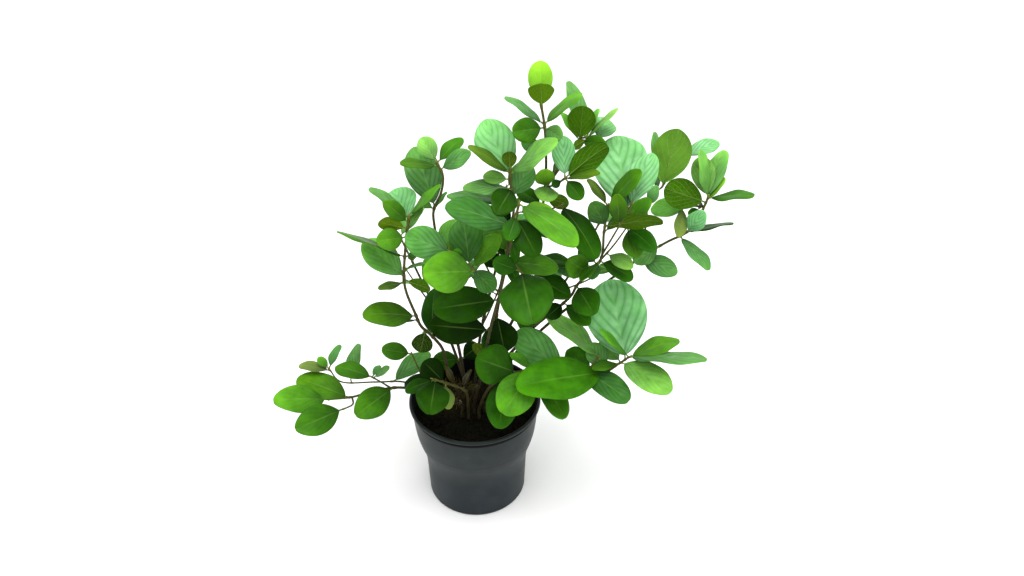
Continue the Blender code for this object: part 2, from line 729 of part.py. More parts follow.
def hidden(leaf, front):
    """Whether the leaves in front hide this one from the view."""
    for s, t in HIDDEN_AT:
        point = leaf_point(leaf, s, t)
        toward = (VIEW_FROM - point).normalized()
        if front.ray_cast(point + toward * CLEAR_OF_BLADE, toward)[0] is None:
            return False
    return True


def grow_shrub():
    """All shoots and leaves: {node: (paths, leaves)}."""
    thicket = Thicket()
    shrub = {}
    for node, stem in list(SHRUB.items()) + list(BACK_STEMS.items()):
        paths = shoots_of(stem, node in SHRUB)
        shrub[node] = (paths, [])
        for k, path in enumerate(paths):
            tube = shoot_mesh(path, k == 0, MARGIN)
            thicket.add(node, tube, None)
    number = 0
    for node, stem in SHRUB.items():
        for spec in stem["leaves"]:
            number += 1
            best = grow(thicket, node, lambda push, turn: seen_leaf(
                shrub[node][0], spec, push, turn, number))
            shrub[node][1].append(best[1])
    front = BVHTree.FromPolygons(*joined([leaf_mesh(leaf) for _, leaves in shrub.values()
                                          for leaf in leaves]))
    for node in BACK_STEMS:
        for point, along, out in back_leaves(shrub[node][0]):
            number += 1

            def make(push, turn):
                leaf = back_leaf(point, along, out, number, push, turn)
                return leaf if hidden(leaf, front) else None
            best = grow(thicket, node, make)
            if best is None or best[0]:
                if best:
                    thicket.pieces.pop()
                continue
            shrub[node][1].append(best[1])
    return shrub


def joined(meshes):
    """Several meshes as one list of vertices and one of faces."""
    vertices, faces = [], []
    for points, polygons in meshes:
        faces += [tuple(k + len(vertices) for k in polygon) for polygon in polygons]
        vertices += points
    return vertices, faces


def shoot_mesh(path, is_main, thicker=0.0):
    if is_main:
        return tube_mesh(path, STEM_RADIUS + thicker, SHOOT_TIP_RADIUS + thicker, STEM_SIDES)
    return tube_mesh(path, TWIG_RADIUS + thicker, TWIG_TIP_RADIUS + thicker, TWIG_SIDES)


def make_object(name, mesh_data, collection=None):
    """An object of the given name from vertices in millimetres and faces."""
    vertices, faces = mesh_data
    mesh = bpy.data.meshes.new(name)
    mesh.from_pydata([v * MM for v in vertices], [], faces)
    built = bpy.data.objects.new(name, mesh)
    (collection or bpy.context.scene.collection).objects.link(built)
    tidy = bmesh.new()
    tidy.from_mesh(mesh)
    bmesh.ops.recalc_face_normals(tidy, faces=tidy.faces)
    tidy.to_mesh(mesh)
    tidy.free()
    return built


def apply_boolean(target, operation, tools):
    """Joins or cuts the target with a collection of tools, which are then removed."""
    modifier = target.modifiers.new("join", "BOOLEAN")
    modifier.operation = operation
    modifier.operand_type = "COLLECTION"
    modifier.collection = tools
    modifier.solver = "EXACT"
    bpy.context.view_layer.update()
    graph = bpy.context.evaluated_depsgraph_get()
    result = bpy.data.meshes.new_from_object(target.evaluated_get(graph))
    target.modifiers.clear()
    target.data = result
    for tool in list(tools.objects):
        bpy.data.objects.remove(tool)
    bpy.data.collections.remove(tools)


def new_collection(name):
    group = bpy.data.collections.new(name)
    bpy.context.scene.collection.children.link(group)
    return group


def finish(name, colour, roughness):
    """A plain surface: colour, roughness and no metal."""
    material = bpy.data.materials.new(name)
    material.use_nodes = True
    surface = material.node_tree.nodes["Principled BSDF"]
    surface.inputs["Base Color"].default_value = (*colour, 1.0)
    surface.inputs["Roughness"].default_value = roughness
    surface.inputs["Metallic"].default_value = 0.0
    return material


def turned(name, profile, sides):
    """A closed body turned about the pot's axis from (radius, height) pairs, up the outside."""
    vertices, faces = [], []
    for radius, height in profile:
        for k in range(sides):
            turn = 2 * math.pi * k / sides
            vertices.append(Vector((radius * math.cos(turn), radius * math.sin(turn), height)))
    for row in range(len(profile) - 1):
        for k in range(sides):
            a, b = row * sides + k, row * sides + (k + 1) % sides
            faces.append((a, b, b + sides, a + sides))
    faces.append(tuple(reversed(range(sides))))
    faces.append(tuple(range(len(vertices) - sides, len(vertices))))
    return make_object(name, (vertices, faces))


def inner_radius(height):
    """The radius of the pot's inner wall at a height."""
    if height >= COLLAR_BOTTOM:
        share = (height - COLLAR_BOTTOM) / (POT_HEIGHT - COLLAR_BOTTOM)
        return COLLAR_RADIUS + (COLLAR_TOP_RADIUS - COLLAR_RADIUS) * share - WALL
    if height >= SHOULDER_BOTTOM:
        share = (height - SHOULDER_BOTTOM) / (COLLAR_BOTTOM - SHOULDER_BOTTOM)
        return BODY_TOP_RADIUS + (COLLAR_RADIUS - BODY_TOP_RADIUS) * share - WALL
    share = height / SHOULDER_BOTTOM
    return BASE_RADIUS + (BODY_TOP_RADIUS - BASE_RADIUS) * share - WALL


def make_pot():
    """The pot: flat base, tapered body, shoulder, collar and rolled lip, with drain holes."""
    under_lip = POT_HEIGHT - LIP_HEIGHT
    profile = [
        (BASE_RADIUS - FOOT_ROUND, 0.0),
        (BASE_RADIUS - FOOT_ROUND * 0.25, FOOT_ROUND * 0.35),
        (BASE_RADIUS, FOOT_ROUND * 1.2),
        (BODY_TOP_RADIUS, SHOULDER_BOTTOM),
        (COLLAR_RADIUS, COLLAR_BOTTOM),
        (COLLAR_TOP_RADIUS, under_lip),
        (RIM_RADIUS - LIP_ROUND * 0.2, under_lip + LIP_ROUND * 0.15),
        (RIM_RADIUS, under_lip + LIP_ROUND),
        (RIM_RADIUS - LIP_ROUND * 0.25, POT_HEIGHT - LIP_ROUND * 0.45),
        (RIM_RADIUS - LIP_ROUND, POT_HEIGHT),
        (RIM_RADIUS - LIP_ROUND * 1.9, POT_HEIGHT - LIP_ROUND * 0.3),
        (inner_radius(under_lip - 1.0), under_lip - 1.0),
        (inner_radius(COLLAR_BOTTOM), COLLAR_BOTTOM),
        (inner_radius(SHOULDER_BOTTOM), SHOULDER_BOTTOM),
        (inner_radius(WALL), WALL),
    ]
    pot = turned("pot", profile, POT_SIDES)
    drills = new_collection("drain drills")
    for k in range(DRAIN_HOLES):
        turn = 2 * math.pi * (k + 0.5) / DRAIN_HOLES
        centre = Vector((DRAIN_CIRCLE * math.cos(turn), DRAIN_CIRCLE * math.sin(turn), 0.0))
        path = [centre + UP * -3.0, centre + UP * (WALL + 3.0)]
        make_object("drill", tube_mesh(path, DRAIN_RADIUS, DRAIN_RADIUS, DRAIN_SIDES), drills)
    apply_boolean(pot, "DIFFERENCE", drills)
    return pot


def make_soil(feet):
    """The soil: a plug that fills the pot, uneven on top, with a plain hole for each stem."""
    outer = inner_radius(SOIL_TOP) - CLEARANCE
    wall = [(inner_radius(WALL) - CLEARANCE, WALL + CLEARANCE),
            (inner_radius(SHOULDER_BOTTOM) - CLEARANCE, SHOULDER_BOTTOM),
            (inner_radius(COLLAR_BOTTOM) - CLEARANCE, COLLAR_BOTTOM)]
    vertices, faces = [], []
    for radius, height in wall:
        for k in range(SOIL_SPOKES):
            turn = 2 * math.pi * k / SOIL_SPOKES
            vertices.append(Vector((radius * math.cos(turn), radius * math.sin(turn), height)))
    for share in SOIL_RINGS:
        for k in range(SOIL_SPOKES):
            turn = 2 * math.pi * k / SOIL_SPOKES
            x, y = outer * share * math.cos(turn), outer * share * math.sin(turn)
            vertices.append(Vector((x, y, soil_height(x, y))))
    vertices.append(Vector((0.0, 0.0, soil_height(0.0, 0.0))))
    rows = len(wall) + len(SOIL_RINGS)
    for row in range(rows - 1):
        for k in range(SOIL_SPOKES):
            a, b = row * SOIL_SPOKES + k, row * SOIL_SPOKES + (k + 1) % SOIL_SPOKES
            faces.append((a, b, b + SOIL_SPOKES))
            faces.append((a, b + SOIL_SPOKES, a + SOIL_SPOKES))
    last = (rows - 1) * SOIL_SPOKES
    for k in range(SOIL_SPOKES):
        faces.append((last + k, last + (k + 1) % SOIL_SPOKES, rows * SOIL_SPOKES))
    faces.append(tuple(reversed(range(SOIL_SPOKES))))
    soil = make_object("soil", (vertices, faces))
    bores = new_collection("stem bores")
    radius = (STEM_RADIUS + CLEARANCE) / math.cos(math.pi / HOLE_SIDES)
    for x, y in feet:
        path = [Vector((x, y, SOIL_TOP - HOLE_DEPTH)), Vector((x, y, SOIL_TOP + 10.0))]
        make_object("bore", tube_mesh(path, radius, radius, HOLE_SIDES), bores)
    apply_boolean(soil, "DIFFERENCE", bores)
    return soil


def soil_height(x, y):
    """The height of the soil's top: nearly level, gently uneven."""
    return SOIL_TOP + SOIL_UNEVEN * math.sin(x * 0.11 + 1.0) * math.cos(y * 0.13 + 0.4)


def make_leafy_stem(node, paths, leaves):
    """One leafy stem: its shoots and leaves joined in one body."""
    stem = make_object(node, shoot_mesh(paths[0], True))
    grown = new_collection(node + " pieces")
    for path in paths[1:]:
        make_object("twig", shoot_mesh(path, False), grown)
    for leaf in leaves:
        make_object("leaf", leaf_mesh(leaf), grown)
    apply_boolean(stem, "UNION", grown)
    return stem


def main():
    for old in list(bpy.data.objects):
        bpy.data.objects.remove(old)
    pot = make_pot()
    pot.data.materials.clear()
    pot.data.materials.append(finish("moulded polypropylene", (0.030, 0.042, 0.050), 0.42))
    pot.data.shade_smooth()
    pot.data.set_sharp_from_angle(angle=math.radians(35))
    feet = [stem["foot"] for stem in list(SHRUB.values()) + list(BACK_STEMS.values())]
    soil = make_soil(feet)
    soil.data.materials.clear()
    soil.data.materials.append(finish("potting soil", (0.020, 0.014, 0.008), 0.95))
    foliage = finish("viburnum foliage", (0.070, 0.240, 0.030), 0.42)
    for node, (paths, leaves) in grow_shrub().items():
        stem = make_leafy_stem(node, paths, leaves)
        stem.data.materials.clear()
        stem.data.materials.append(foliage)


main()
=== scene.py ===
"""A young viburnum in a round nursery pot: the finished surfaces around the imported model.

The shrub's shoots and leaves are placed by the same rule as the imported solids, in millimetres, and
each leaf is then drawn finely: quilted between its side veins, with a grooved midrib and a stalk.
Shoots, buds and the soil's crumbs are made with Geometry Nodes and kept as plain meshes.
"""
import json
import math
import random
from collections import namedtuple
from itertools import product

import bmesh
import bpy
from mathutils import Matrix, Vector, noise
from mathutils.bvhtree import BVHTree

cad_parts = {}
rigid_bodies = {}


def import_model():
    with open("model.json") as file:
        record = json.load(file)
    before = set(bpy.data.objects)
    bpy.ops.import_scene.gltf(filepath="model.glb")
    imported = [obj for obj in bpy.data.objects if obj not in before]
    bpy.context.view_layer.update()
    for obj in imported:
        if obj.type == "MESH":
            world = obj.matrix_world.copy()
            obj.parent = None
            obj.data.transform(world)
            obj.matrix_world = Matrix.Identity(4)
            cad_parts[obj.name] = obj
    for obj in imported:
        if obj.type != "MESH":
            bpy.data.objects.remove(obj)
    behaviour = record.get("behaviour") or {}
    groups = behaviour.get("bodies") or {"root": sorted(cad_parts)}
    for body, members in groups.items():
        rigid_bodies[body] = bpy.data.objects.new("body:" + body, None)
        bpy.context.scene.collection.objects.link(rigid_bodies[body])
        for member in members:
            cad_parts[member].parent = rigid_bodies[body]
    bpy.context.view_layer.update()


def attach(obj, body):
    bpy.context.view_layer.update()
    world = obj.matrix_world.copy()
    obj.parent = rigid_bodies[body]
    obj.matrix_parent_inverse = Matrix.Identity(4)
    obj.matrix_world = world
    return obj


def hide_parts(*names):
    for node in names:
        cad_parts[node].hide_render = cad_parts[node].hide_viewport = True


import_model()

MM = 0.001

# The pot
POT_HEIGHT = 133.0
RIM_RADIUS = 75.0
COLLAR_TOP_RADIUS = 72.8
COLLAR_RADIUS = 68.8
BODY_TOP_RADIUS = 59.4
BASE_RADIUS = 57.6
WALL = 1.6
LIP_HEIGHT = 4.4
COLLAR_BOTTOM = 87.0
SHOULDER_BOTTOM = 59.0
POT_SIDES = 160
DRAIN_HOLES = 6
DRAIN_RADIUS = 5.0
DRAIN_CIRCLE = 39.0

# The soil
SOIL_TOP = 113.0
SOIL_UNEVEN = 1.3
CLEARANCE = 0.3
HOLE_DEPTH = 34.0

# The stems
STEM_RADIUS = 2.1
SHOOT_TIP_RADIUS = 1.15
TWIG_RADIUS = 1.1
TWIG_TIP_RADIUS = 0.8
STEM_SIDES = 5
TWIG_SIDES = 4
STEM_STEP = 38.0
TWIG_STEP = 30.4
STRAIGHT_FROM = 4.0
STRAIGHT_TO = 14.0

# The leaves
LEAF_RATIO = 0.56
BROADEST_RATIO = 0.70
BLADE = 0.9
STALK_THICK = 1.3
STALK_WIDTH = 1.6
STALK_LENGTH = 4.5
LONGEST_STALK = 0.16
SLIMMEST_RATIO = 0.40
LEAST_LEAN = 1.04
ARCH_SPAN = (0.03, 0.08)
FOLD_SPAN = (0.16, 0.34)
FOLD_EASE = 0.45
FOLD_SUNK = 0.28
WAVE = 0.07
WAVES = 9.0
WAVE_SHIFT = 1.7
PHASE_SPAN = (0.0, 6.28)

# A blade's outline: how far its broadest place lies towards the tip, and how full its ends are
TIPWARD = 1.10
FULL_SPAN = (0.54, 0.66)
FULLER_TIP = 0.10
ROOT_SUNK = 0.5
MARGIN = 0.7
SEED = 11
SHAPE_SEED = SEED * 1000
BACK_SEED = SEED * 77
TONE_SEED = SEED * 313

# The point of view that the shrub's places are read from, which is also the camera's
VIEW_FOCAL = 800.0
VIEW_CENTRE = (512.0, 288.0)
VIEW_WIDTH = 1024.0
VIEW_FROM = Vector((42.3, -695.0, 738.0))
VIEW_PITCH = math.radians(33.3)
FORWARD = Vector((0.0, math.cos(VIEW_PITCH), -math.sin(VIEW_PITCH)))
RIGHT = Vector((1.0, 0.0, 0.0))
UPWARD = Vector((0.0, math.sin(VIEW_PITCH), math.cos(VIEW_PITCH)))

UP = Vector((0.0, 0.0, 1.0))
UPPER, UNDER = 1, -1
NEAR, FAR = 1, -1

# The leaves' tones: the colour of the upper face, that of the lower face, and how much painted pale
# sheen lies on the upper one. New leaves are yellow-green, old ones deep green, and shaded ones bluish.
# The darkest tones, DUSK and SHADE, are painted shade for leaves deep inside the shrub, and the pale
# ones, PALE and MINT, hold painted reflection of the white room.
SPRING = ("#76b61c", "#86b020", 0.06)
PALE = ("#62ac54", "#7aa83c", 0.50)
FRESH = ("#6ab036", "#6b9c2c", 0.22)
LEAF = ("#4e9010", "#588a14", 0.06)
COOL = ("#458426", "#4e8024", 0.24)
MINT = ("#58a454", "#689c3a", 0.70)
DEEP = ("#3b7103", "#4c7a04", 0.04)
IVY = ("#285c00", "#3c6600", 0.02)
SLATE = ("#2f6414", "#446c1a", 0.10)
DUSK = ("#1e4a00", "#2e5400", 0.01)
SHADE = ("#103000", "#1a3800", 0.0)
OLIVE = ("#528606", "#5c8402", 0.04)
BROWN = ("#48680e", "#486a08", 0.03)
OLD = ("#6d8a3c", "#748040", 0.05)
VIVID = ("#408a04", "#4c8e10", 0.02)
DRY = ("#3a3812", "#3c3016", 0.0)
TONE_SHARE = 0.74
BACK_TONES = (LEAF, DEEP, COOL, FRESH)

# How far a leaf's tone may vary, as a whole and in its red and its blue
TONE_VARIES = (0.90, 1.10)
RED_VARIES = (0.9, 1.1)
BLUE_VARIES = (0.85, 1.15)


# Each leafy stem has a foot, where it enters the soil as (x, y), a main shoot as (u, v, y) places,
# and twigs, whose first place is moved onto the shoot that carries it. A leaf is
# (base u, base v, tip u, tip v, breadth seen, face seen, which way its tip leans, its tone).
SHRUB = {
    "stem_top": {
        "foot": (3, 13),
        "main": [(500, 345, 20), (520, 305, 24), (535, 250, 24), (543, 205, 16), (546, 170, 10),
                 (545, 131, 5), (541, 104, 4)],
        "twigs": [
            [(545, 190, 0), (557, 184, 0), (565, 178, -12)],
            [(546, 186, 0), (560, 168, 32), (572, 150, 40), (582, 138, 42), (597, 140, 44)],
            [(541, 215, 0), (552, 209, 6), (561, 205, 0)],
        ],
        "leaves": [
            (541, 104, 540, 60, 25, UPPER, FAR, SPRING), (541, 106, 541, 82, 26, UNDER, NEAR, OLIVE),
            (543, 125, 506, 95, 9, UPPER, FAR, COOL), (546, 124, 580, 91, 11, UPPER, FAR, LEAF),
            (546, 129, 513, 132, 25, UPPER, NEAR, DEEP), (547, 126, 561, 138, 18, UPPER, NEAR, COOL),
            (570, 180, 562, 135, 24, UPPER, FAR, MINT), (569, 180, 607, 145, 25, UNDER, FAR, IVY),
            (567, 180, 582, 199, 18, UPPER, NEAR, IVY), (546, 188, 544, 170, 20, UPPER, NEAR, SPRING),
            (548, 184, 545, 200, 24, UPPER, NEAR, FRESH), (546, 197, 569, 205, 15, UNDER, NEAR, BROWN),
            (563, 203, 597, 258, 26, UPPER, NEAR, DUSK), (576, 137, 583, 105, 28, UNDER, NEAR, DEEP),
            (580, 141, 606, 145, 17, UPPER, NEAR, DEEP), (600, 143, 608, 118, 26, UPPER, FAR, PALE),
            (586, 137, 597, 108, 9, UPPER, FAR, FRESH), (588, 125, 617, 107, 5, UPPER, FAR, FRESH),
            (586, 136, 572, 80, 19, UPPER, FAR, COOL), (577, 138, 563, 112, 9, UPPER, FAR, LEAF),
            (536, 256, 571, 263, 13, UPPER, NEAR, DUSK), (528, 275, 570, 296, 24, UPPER, NEAR, DUSK),
            (544, 203, 517, 189, 16, UPPER, FAR, IVY), (566, 181, 600, 172, 8, UPPER, NEAR, BROWN),
            (587, 149, 573, 148, 9, UNDER, NEAR, BROWN), (549, 178, 558, 160, 5, UPPER, NEAR, BROWN),
            (541, 153, 521, 141, 15, UPPER, FAR, COOL), (567, 188, 552, 186, 9, UPPER, FAR, DUSK),
        ],
    },
    "stem_centre": {
        "foot": (-5, 3),
        "main": [(489, 365, 2), (496, 320, -4), (503, 275, -8), (514, 206, -12),
                 (510.5, 183, -12), (510, 169, -12)],
        "twigs": [],
        "leaves": [
            (522, 175, 484, 119, 41, UPPER, FAR, PALE), (510, 173, 469, 145, 10, UPPER, NEAR, BROWN),
            (511, 174, 556, 139, 18, UPPER, NEAR, FRESH), (510, 170, 509, 151, 15, UNDER, NEAR, BROWN),
            (511, 188, 463, 187, 14, UPPER, NEAR, COOL), (510, 179, 483, 176, 14, UPPER, FAR, FRESH),
            (513, 188, 497, 213, 27, UPPER, NEAR, DUSK), (516, 197, 530, 163, 25, UPPER, FAR, COOL),
            (512, 262, 558, 268, 22, UPPER, NEAR, DEEP), (503, 316, 505, 353, 33, UPPER, FAR, SHADE),
            (507, 290, 518, 317, 16, UPPER, FAR, DUSK), (510, 252, 497, 226, 20, UPPER, FAR, LEAF),
            (489, 362, 474, 343, 12, UNDER, NEAR, BROWN), (514, 262, 504, 237, 15, UPPER, FAR, DUSK),
            (494, 320, 487, 352, 18, UPPER, FAR, DUSK), (513, 204, 447, 193, 15, UPPER, FAR, COOL),
            (510, 268, 483, 255, 17, UPPER, FAR, SHADE), (511, 222, 499, 208, 14, UPPER, FAR, SHADE),
            (516, 238, 517, 262, 12, UPPER, FAR, IVY), (517, 262, 519, 284, 12, UPPER, FAR, IVY),
        ],
    },
    "stem_front": {
        "foot": (-1, -7),
        "main": [(482, 372, -14), (490, 330, -30), (500, 293, -46), (507, 262, -56),
                 (515, 221, -62), (519, 204, -62)],
        "twigs": [
            [(500, 293, 0), (487, 282, -58), (475, 271, -64), (461, 259, -66), (451, 252, -64)],
            [(508, 258, 0), (516, 266, -66), (523, 274, -70)],
        ],
        "leaves": [
            (519, 204, 578, 244, 27, UPPER, NEAR, LEAF), (511, 228, 446, 204, 29, UPPER, NEAR, SLATE),
            (515, 217, 537, 256, 27, UPPER, NEAR, DUSK), (516, 212, 552, 207, 15, UPPER, FAR, OLIVE),
            (516, 218, 571, 240, 14, UPPER, FAR, COOL), (478, 268, 424, 273, 41, UPPER, NEAR, LEAF),
            (470, 272, 498, 233, 21, UPPER, FAR, LEAF), (452, 252, 405, 235, 33, UPPER, FAR, COOL),
            (474, 262, 463, 217, 35, UPPER, FAR, SLATE), (459, 258, 456, 249, 9, UPPER, NEAR, DEEP),
            (477, 262, 495, 291, 22, UPPER, FAR, SLATE), (503, 302, 434, 309, 36, UPPER, NEAR, DUSK),
            (505, 333, 428, 325, 35, UPPER, FAR, SHADE), (521, 271, 493, 261, 21, UPPER, FAR, IVY),
            (520, 273, 532, 322, 52, UPPER, NEAR, IVY), (516, 214, 508, 240, 18, UPPER, NEAR, IVY),
        ],
    },
    "stem_upper_left": {
        "foot": (-10, 9),
        "main": [(461, 359, 6), (452, 318, 6), (443, 270, 6), (434.5, 226, 6), (434, 209, 8),
                 (441, 193, 10), (443, 176, 12), (437, 163, 13)],
        "twigs": [],
        "leaves": [
            (434, 163, 421, 137, 20, UPPER, FAR, FRESH), (435, 206, 414, 146, 36, UPPER, FAR, COOL),
            (434, 168, 400, 162, 10, UPPER, NEAR, DEEP), (436, 162, 462, 137, 15, UPPER, FAR, DEEP),
            (438, 170, 470, 152, 17, UPPER, NEAR, COOL), (434, 209, 420, 202, 8, UPPER, FAR, FRESH),
            (435, 209, 446, 191, 5, UPPER, FAR, LEAF), (460, 361, 480, 345, 20, UPPER, FAR, SHADE),
            (461, 361, 433, 361, 19, UPPER, NEAR, IVY), (440, 250, 455, 219, 17, UPPER, FAR, FRESH),
        ],
    },
    "stem_left": {
        "foot": (-13, -1),
        "main": [(449, 373, -12), (443, 350, -18), (433, 337, -24), (421, 326, -28),
                 (415, 313, -30), (406, 291, -32), (404, 273, -32), (406, 240, -28),
                 (409, 217, -26)],
        "twigs": [],
        "leaves": [
            (407, 219, 394, 188, 36, UPPER, FAR, PALE), (410, 216, 371, 186, 11, UPPER, FAR, COOL),
            (410, 217, 439, 183, 8, UPPER, FAR, LEAF), (418, 229, 378, 222, 14, UNDER, NEAR, OLIVE),
            (410, 238, 377, 241, 23, UPPER, NEAR, LEAF), (406, 277, 363, 240, 31, UPPER, FAR, FRESH),
            (404, 256, 338, 229, 4, UPPER, FAR, DEEP), (406, 258, 427, 250, 8, UPPER, FAR, SLATE),
            (406, 270, 426, 262, 4, UPPER, FAR, LEAF), (405, 283, 378, 288, 8, UPPER, NEAR, BROWN),
            (404, 281, 431, 289, 12, UNDER, NEAR, IVY), (421, 314, 363, 314, 25, UPPER, NEAR, DEEP),
            (420, 318, 380, 322, 5, UPPER, NEAR, IVY), (436, 333, 435, 287, 23, UPPER, FAR, DUSK),
            (428, 326, 420, 353, 21, UNDER, NEAR, SHADE), (409, 223, 384, 202, 17, UPPER, FAR, DEEP),
            (411, 231, 421, 206, 10, UPPER, FAR, FRESH),
        ],
    },
    "spray_left": {
        "foot": (-15, -11),
        "main": [(445, 396, -16), (425, 392, -20), (406, 388, -22), (391, 388, -24),
                 (370, 392, -27), (352, 397, -29), (328, 399.5, -32)],
        "twigs": [
            [(419, 391, 0), (404, 382, -14), (375, 382, -8), (342, 382, -6), (329, 369, -4)],
            [(391, 388, 0), (381, 382, -30), (372, 377, -32)],
            [(352, 397, 0), (353, 404, -38), (346, 408, -43), (337, 411, -46)],
            [(430, 393, 0), (420, 372, -8), (412, 354, -6)],
        ],
        "leaves": [
            (412, 352, 382, 349, 18, UPPER, NEAR, DEEP), (394, 379, 429, 351, 19, UPPER, FAR, COOL),
            (392, 387, 356, 415, 30, UPPER, NEAR, DEEP), (372, 377, 380, 365, 7, UPPER, FAR, COOL),
            (373, 377, 389, 367, 7, UPPER, NEAR, COOL), (374, 377, 335, 366, 18, UPPER, FAR, DEEP),
            (350, 381, 357, 343, 13, UPPER, FAR, COOL), (327, 368, 339, 344, 9, UPPER, FAR, COOL),
            (330, 368, 318, 357, 9, UPPER, FAR, LEAF), (331, 369, 299, 364, 11, UPPER, FAR, OLD),
            (348, 390, 297, 377, 27, UPPER, FAR, OLIVE), (329, 401, 274, 400, 27, UPPER, NEAR, LEAF),
            (343, 410, 296, 429, 30, UPPER, NEAR, DEEP),
        ],
    },
    "stem_low": {
        "foot": (-7, -16),
        "main": [(466, 392, -24), (452, 385, -32), (433, 379, -40)],
        "twigs": [],
        "leaves": [
            (436, 379, 430, 413, 33, UPPER, NEAR, DUSK), (446, 383, 449, 409, 13, UPPER, NEAR, OLD),
            (436, 381, 405, 391, 13, UPPER, NEAR, DUSK), (444, 384, 423, 361, 24, UPPER, FAR, SHADE),
            (446, 384, 404, 383, 19, UPPER, FAR, SHADE), (455, 386, 446, 366, 6, UPPER, FAR, DRY),
            (462, 391, 470, 369, 6, UPPER, FAR, DRY), (464, 392, 480, 384, 5, UPPER, FAR, DRY),
        ],
    },
    "stem_low_right": {
        "foot": (5, -15),
        "main": [(489, 388, -26), (506, 377, -36), (521, 371, -44), (532, 370, -48)],
        "twigs": [],
        "leaves": [
            (519, 378, 476, 358, 41, UPPER, FAR, IVY), (534, 371, 503, 413, 38, UPPER, NEAR, LEAF),
            (507, 377, 499, 428, 32, UPPER, NEAR, IVY), (532, 370, 511, 352, 10, UPPER, FAR, LEAF),
        ],
    },
    "stem_right_low": {
        "foot": (11, -5),
        "main": [(505, 390, -16), (535, 378, -26), (560, 372, -31), (585, 371, -33),
                 (605, 372, -35), (620, 363, -35), (629, 357, -35)],
        "twigs": [
            [(588, 371, 0), (593, 364, -34), (598, 357, -28)],
        ],
        "leaves": [
            (624, 358, 609, 279, 62, UPPER, FAR, MINT), (628, 355, 601, 329, 7, UPPER, NEAR, LEAF),
            (632, 350, 679, 338, 18, UPPER, FAR, LEAF), (630, 347, 707, 357, 12, UPPER, NEAR, COOL),
            (622, 363, 671, 391, 28, UPPER, NEAR, FRESH), (611, 350, 547, 309, 20, UPPER, FAR, FRESH),
            (604, 383, 517, 385, 42, UPPER, NEAR, VIVID), (562, 372, 516, 331, 35, UPPER, FAR, COOL),
            (540, 377, 565, 418, 24, UPPER, NEAR, DEEP), (584, 372, 629, 400, 26, UPPER, NEAR, SLATE),
            (592, 371, 566, 350, 24, UPPER, FAR, DEEP), (607, 371, 590, 343, 22, UPPER, FAR, COOL),
            (621, 363, 600, 340, 20, UPPER, FAR, FRESH), (618, 359, 592, 368, 10, UPPER, NEAR, DEEP),
        ],
    },
    "stem_right": {
        "foot": (11, 5),
        "main": [(502, 365, 6), (534, 327, 6), (568, 299, 6), (578, 284, 4), (600, 261, 0),
                 (604, 232, -6), (608, 206, -10)],
        "twigs": [
            [(601, 256, 0), (618, 228, -20), (632, 204, -22)],
            [(596, 266, 0), (613, 246, 8), (627, 227, 10)],
        ],
        "leaves": [
            (603, 226, 593, 203, 22, UPPER, NEAR, SLATE), (612, 207, 589, 178, 9, UPPER, FAR, BROWN),
            (613, 208, 640, 170, 17, UPPER, NEAR, DEEP), (629, 211, 615, 134, 57, UPPER, FAR, MINT),
            (638, 210, 652, 152, 30, UPPER, FAR, MINT), (610, 227, 663, 219, 15, UNDER, NEAR, IVY),
            (637, 225, 638, 257, 22, UPPER, NEAR, DEEP), (640, 226, 655, 250, 19, UPPER, NEAR, IVY),
            (606, 252, 633, 267, 15, UPPER, NEAR, FRESH), (600, 262, 634, 278, 18, UPPER, FAR, IVY),
            (589, 275, 568, 261, 26, UPPER, NEAR, DEEP), (584, 278, 553, 262, 16, UPPER, FAR, COOL),
            (597, 265, 581, 245, 20, UPPER, FAR, SLATE), (574, 284, 594, 314, 29, UPPER, NEAR, IVY),
            (565, 302, 590, 324, 18, UPPER, NEAR, IVY), (561, 296, 547, 317, 17, UPPER, NEAR, SHADE),
            (599, 262, 590, 279, 12, UPPER, NEAR, SLATE), (621, 226, 617, 195, 18, UPPER, NEAR, DEEP),
            (632, 221, 649, 197, 17, UPPER, FAR, LEAF), (607, 231, 633, 208, 14, UPPER, FAR, OLIVE),
            (612, 272, 580, 280, 9, UPPER, FAR, DEEP),
        ],
    },
    "stem_far_right": {
        "foot": (9, 15),
        "main": [(498, 372, 18), (525, 345, 32), (565, 310, 38), (605, 283, 34), (640, 258, 26),
                 (667, 242, 20), (687, 232, 16), (700, 215, 14), (708, 198, 12)],
        "twigs": [
            [(640, 258, 0), (646, 225, 30), (649, 200, 32), (662, 187, 26)],
            [(662, 187, 0), (672, 172, 30), (684, 156, 32)],
            [(704, 207, 0), (693, 206, 22), (683, 206, 24)],
        ],
        "leaves": [
            (664, 187, 679, 128, 38, UNDER, NEAR, FRESH), (657, 193, 658, 132, 12, UPPER, FAR, COOL),
            (684, 153, 719, 141, 16, UPPER, FAR, MINT), (709, 198, 702, 150, 11, UPPER, NEAR, FRESH),
            (709, 199, 700, 156, 24, UPPER, FAR, FRESH), (706, 203, 723, 176, 12, UPPER, FAR, SPRING),
            (708, 196, 754, 194, 9, UPPER, NEAR, DEEP), (713, 206, 664, 188, 31, UNDER, NEAR, IVY),
            (690, 207, 650, 209, 20, UPPER, FAR, FRESH), (682, 207, 679, 237, 13, UPPER, NEAR, OLD),
            (687, 232, 704, 212, 19, UPPER, NEAR, MINT), (688, 232, 733, 221, 5, UPPER, FAR, IVY),
            (680, 237, 710, 269, 13, UPPER, NEAR, COOL), (645, 207, 657, 186, 12, UPPER, NEAR, PALE),
            (660, 247, 634, 262, 19, UPPER, NEAR, COOL), (640, 258, 677, 273, 21, UPPER, NEAR, COOL),
            (711, 196, 722, 149, 22, UPPER, FAR, FRESH), (705, 212, 688, 214, 10, UPPER, FAR, IVY),
            (712, 210, 698, 205, 8, UPPER, FAR, DEEP),
        ],
    },
}

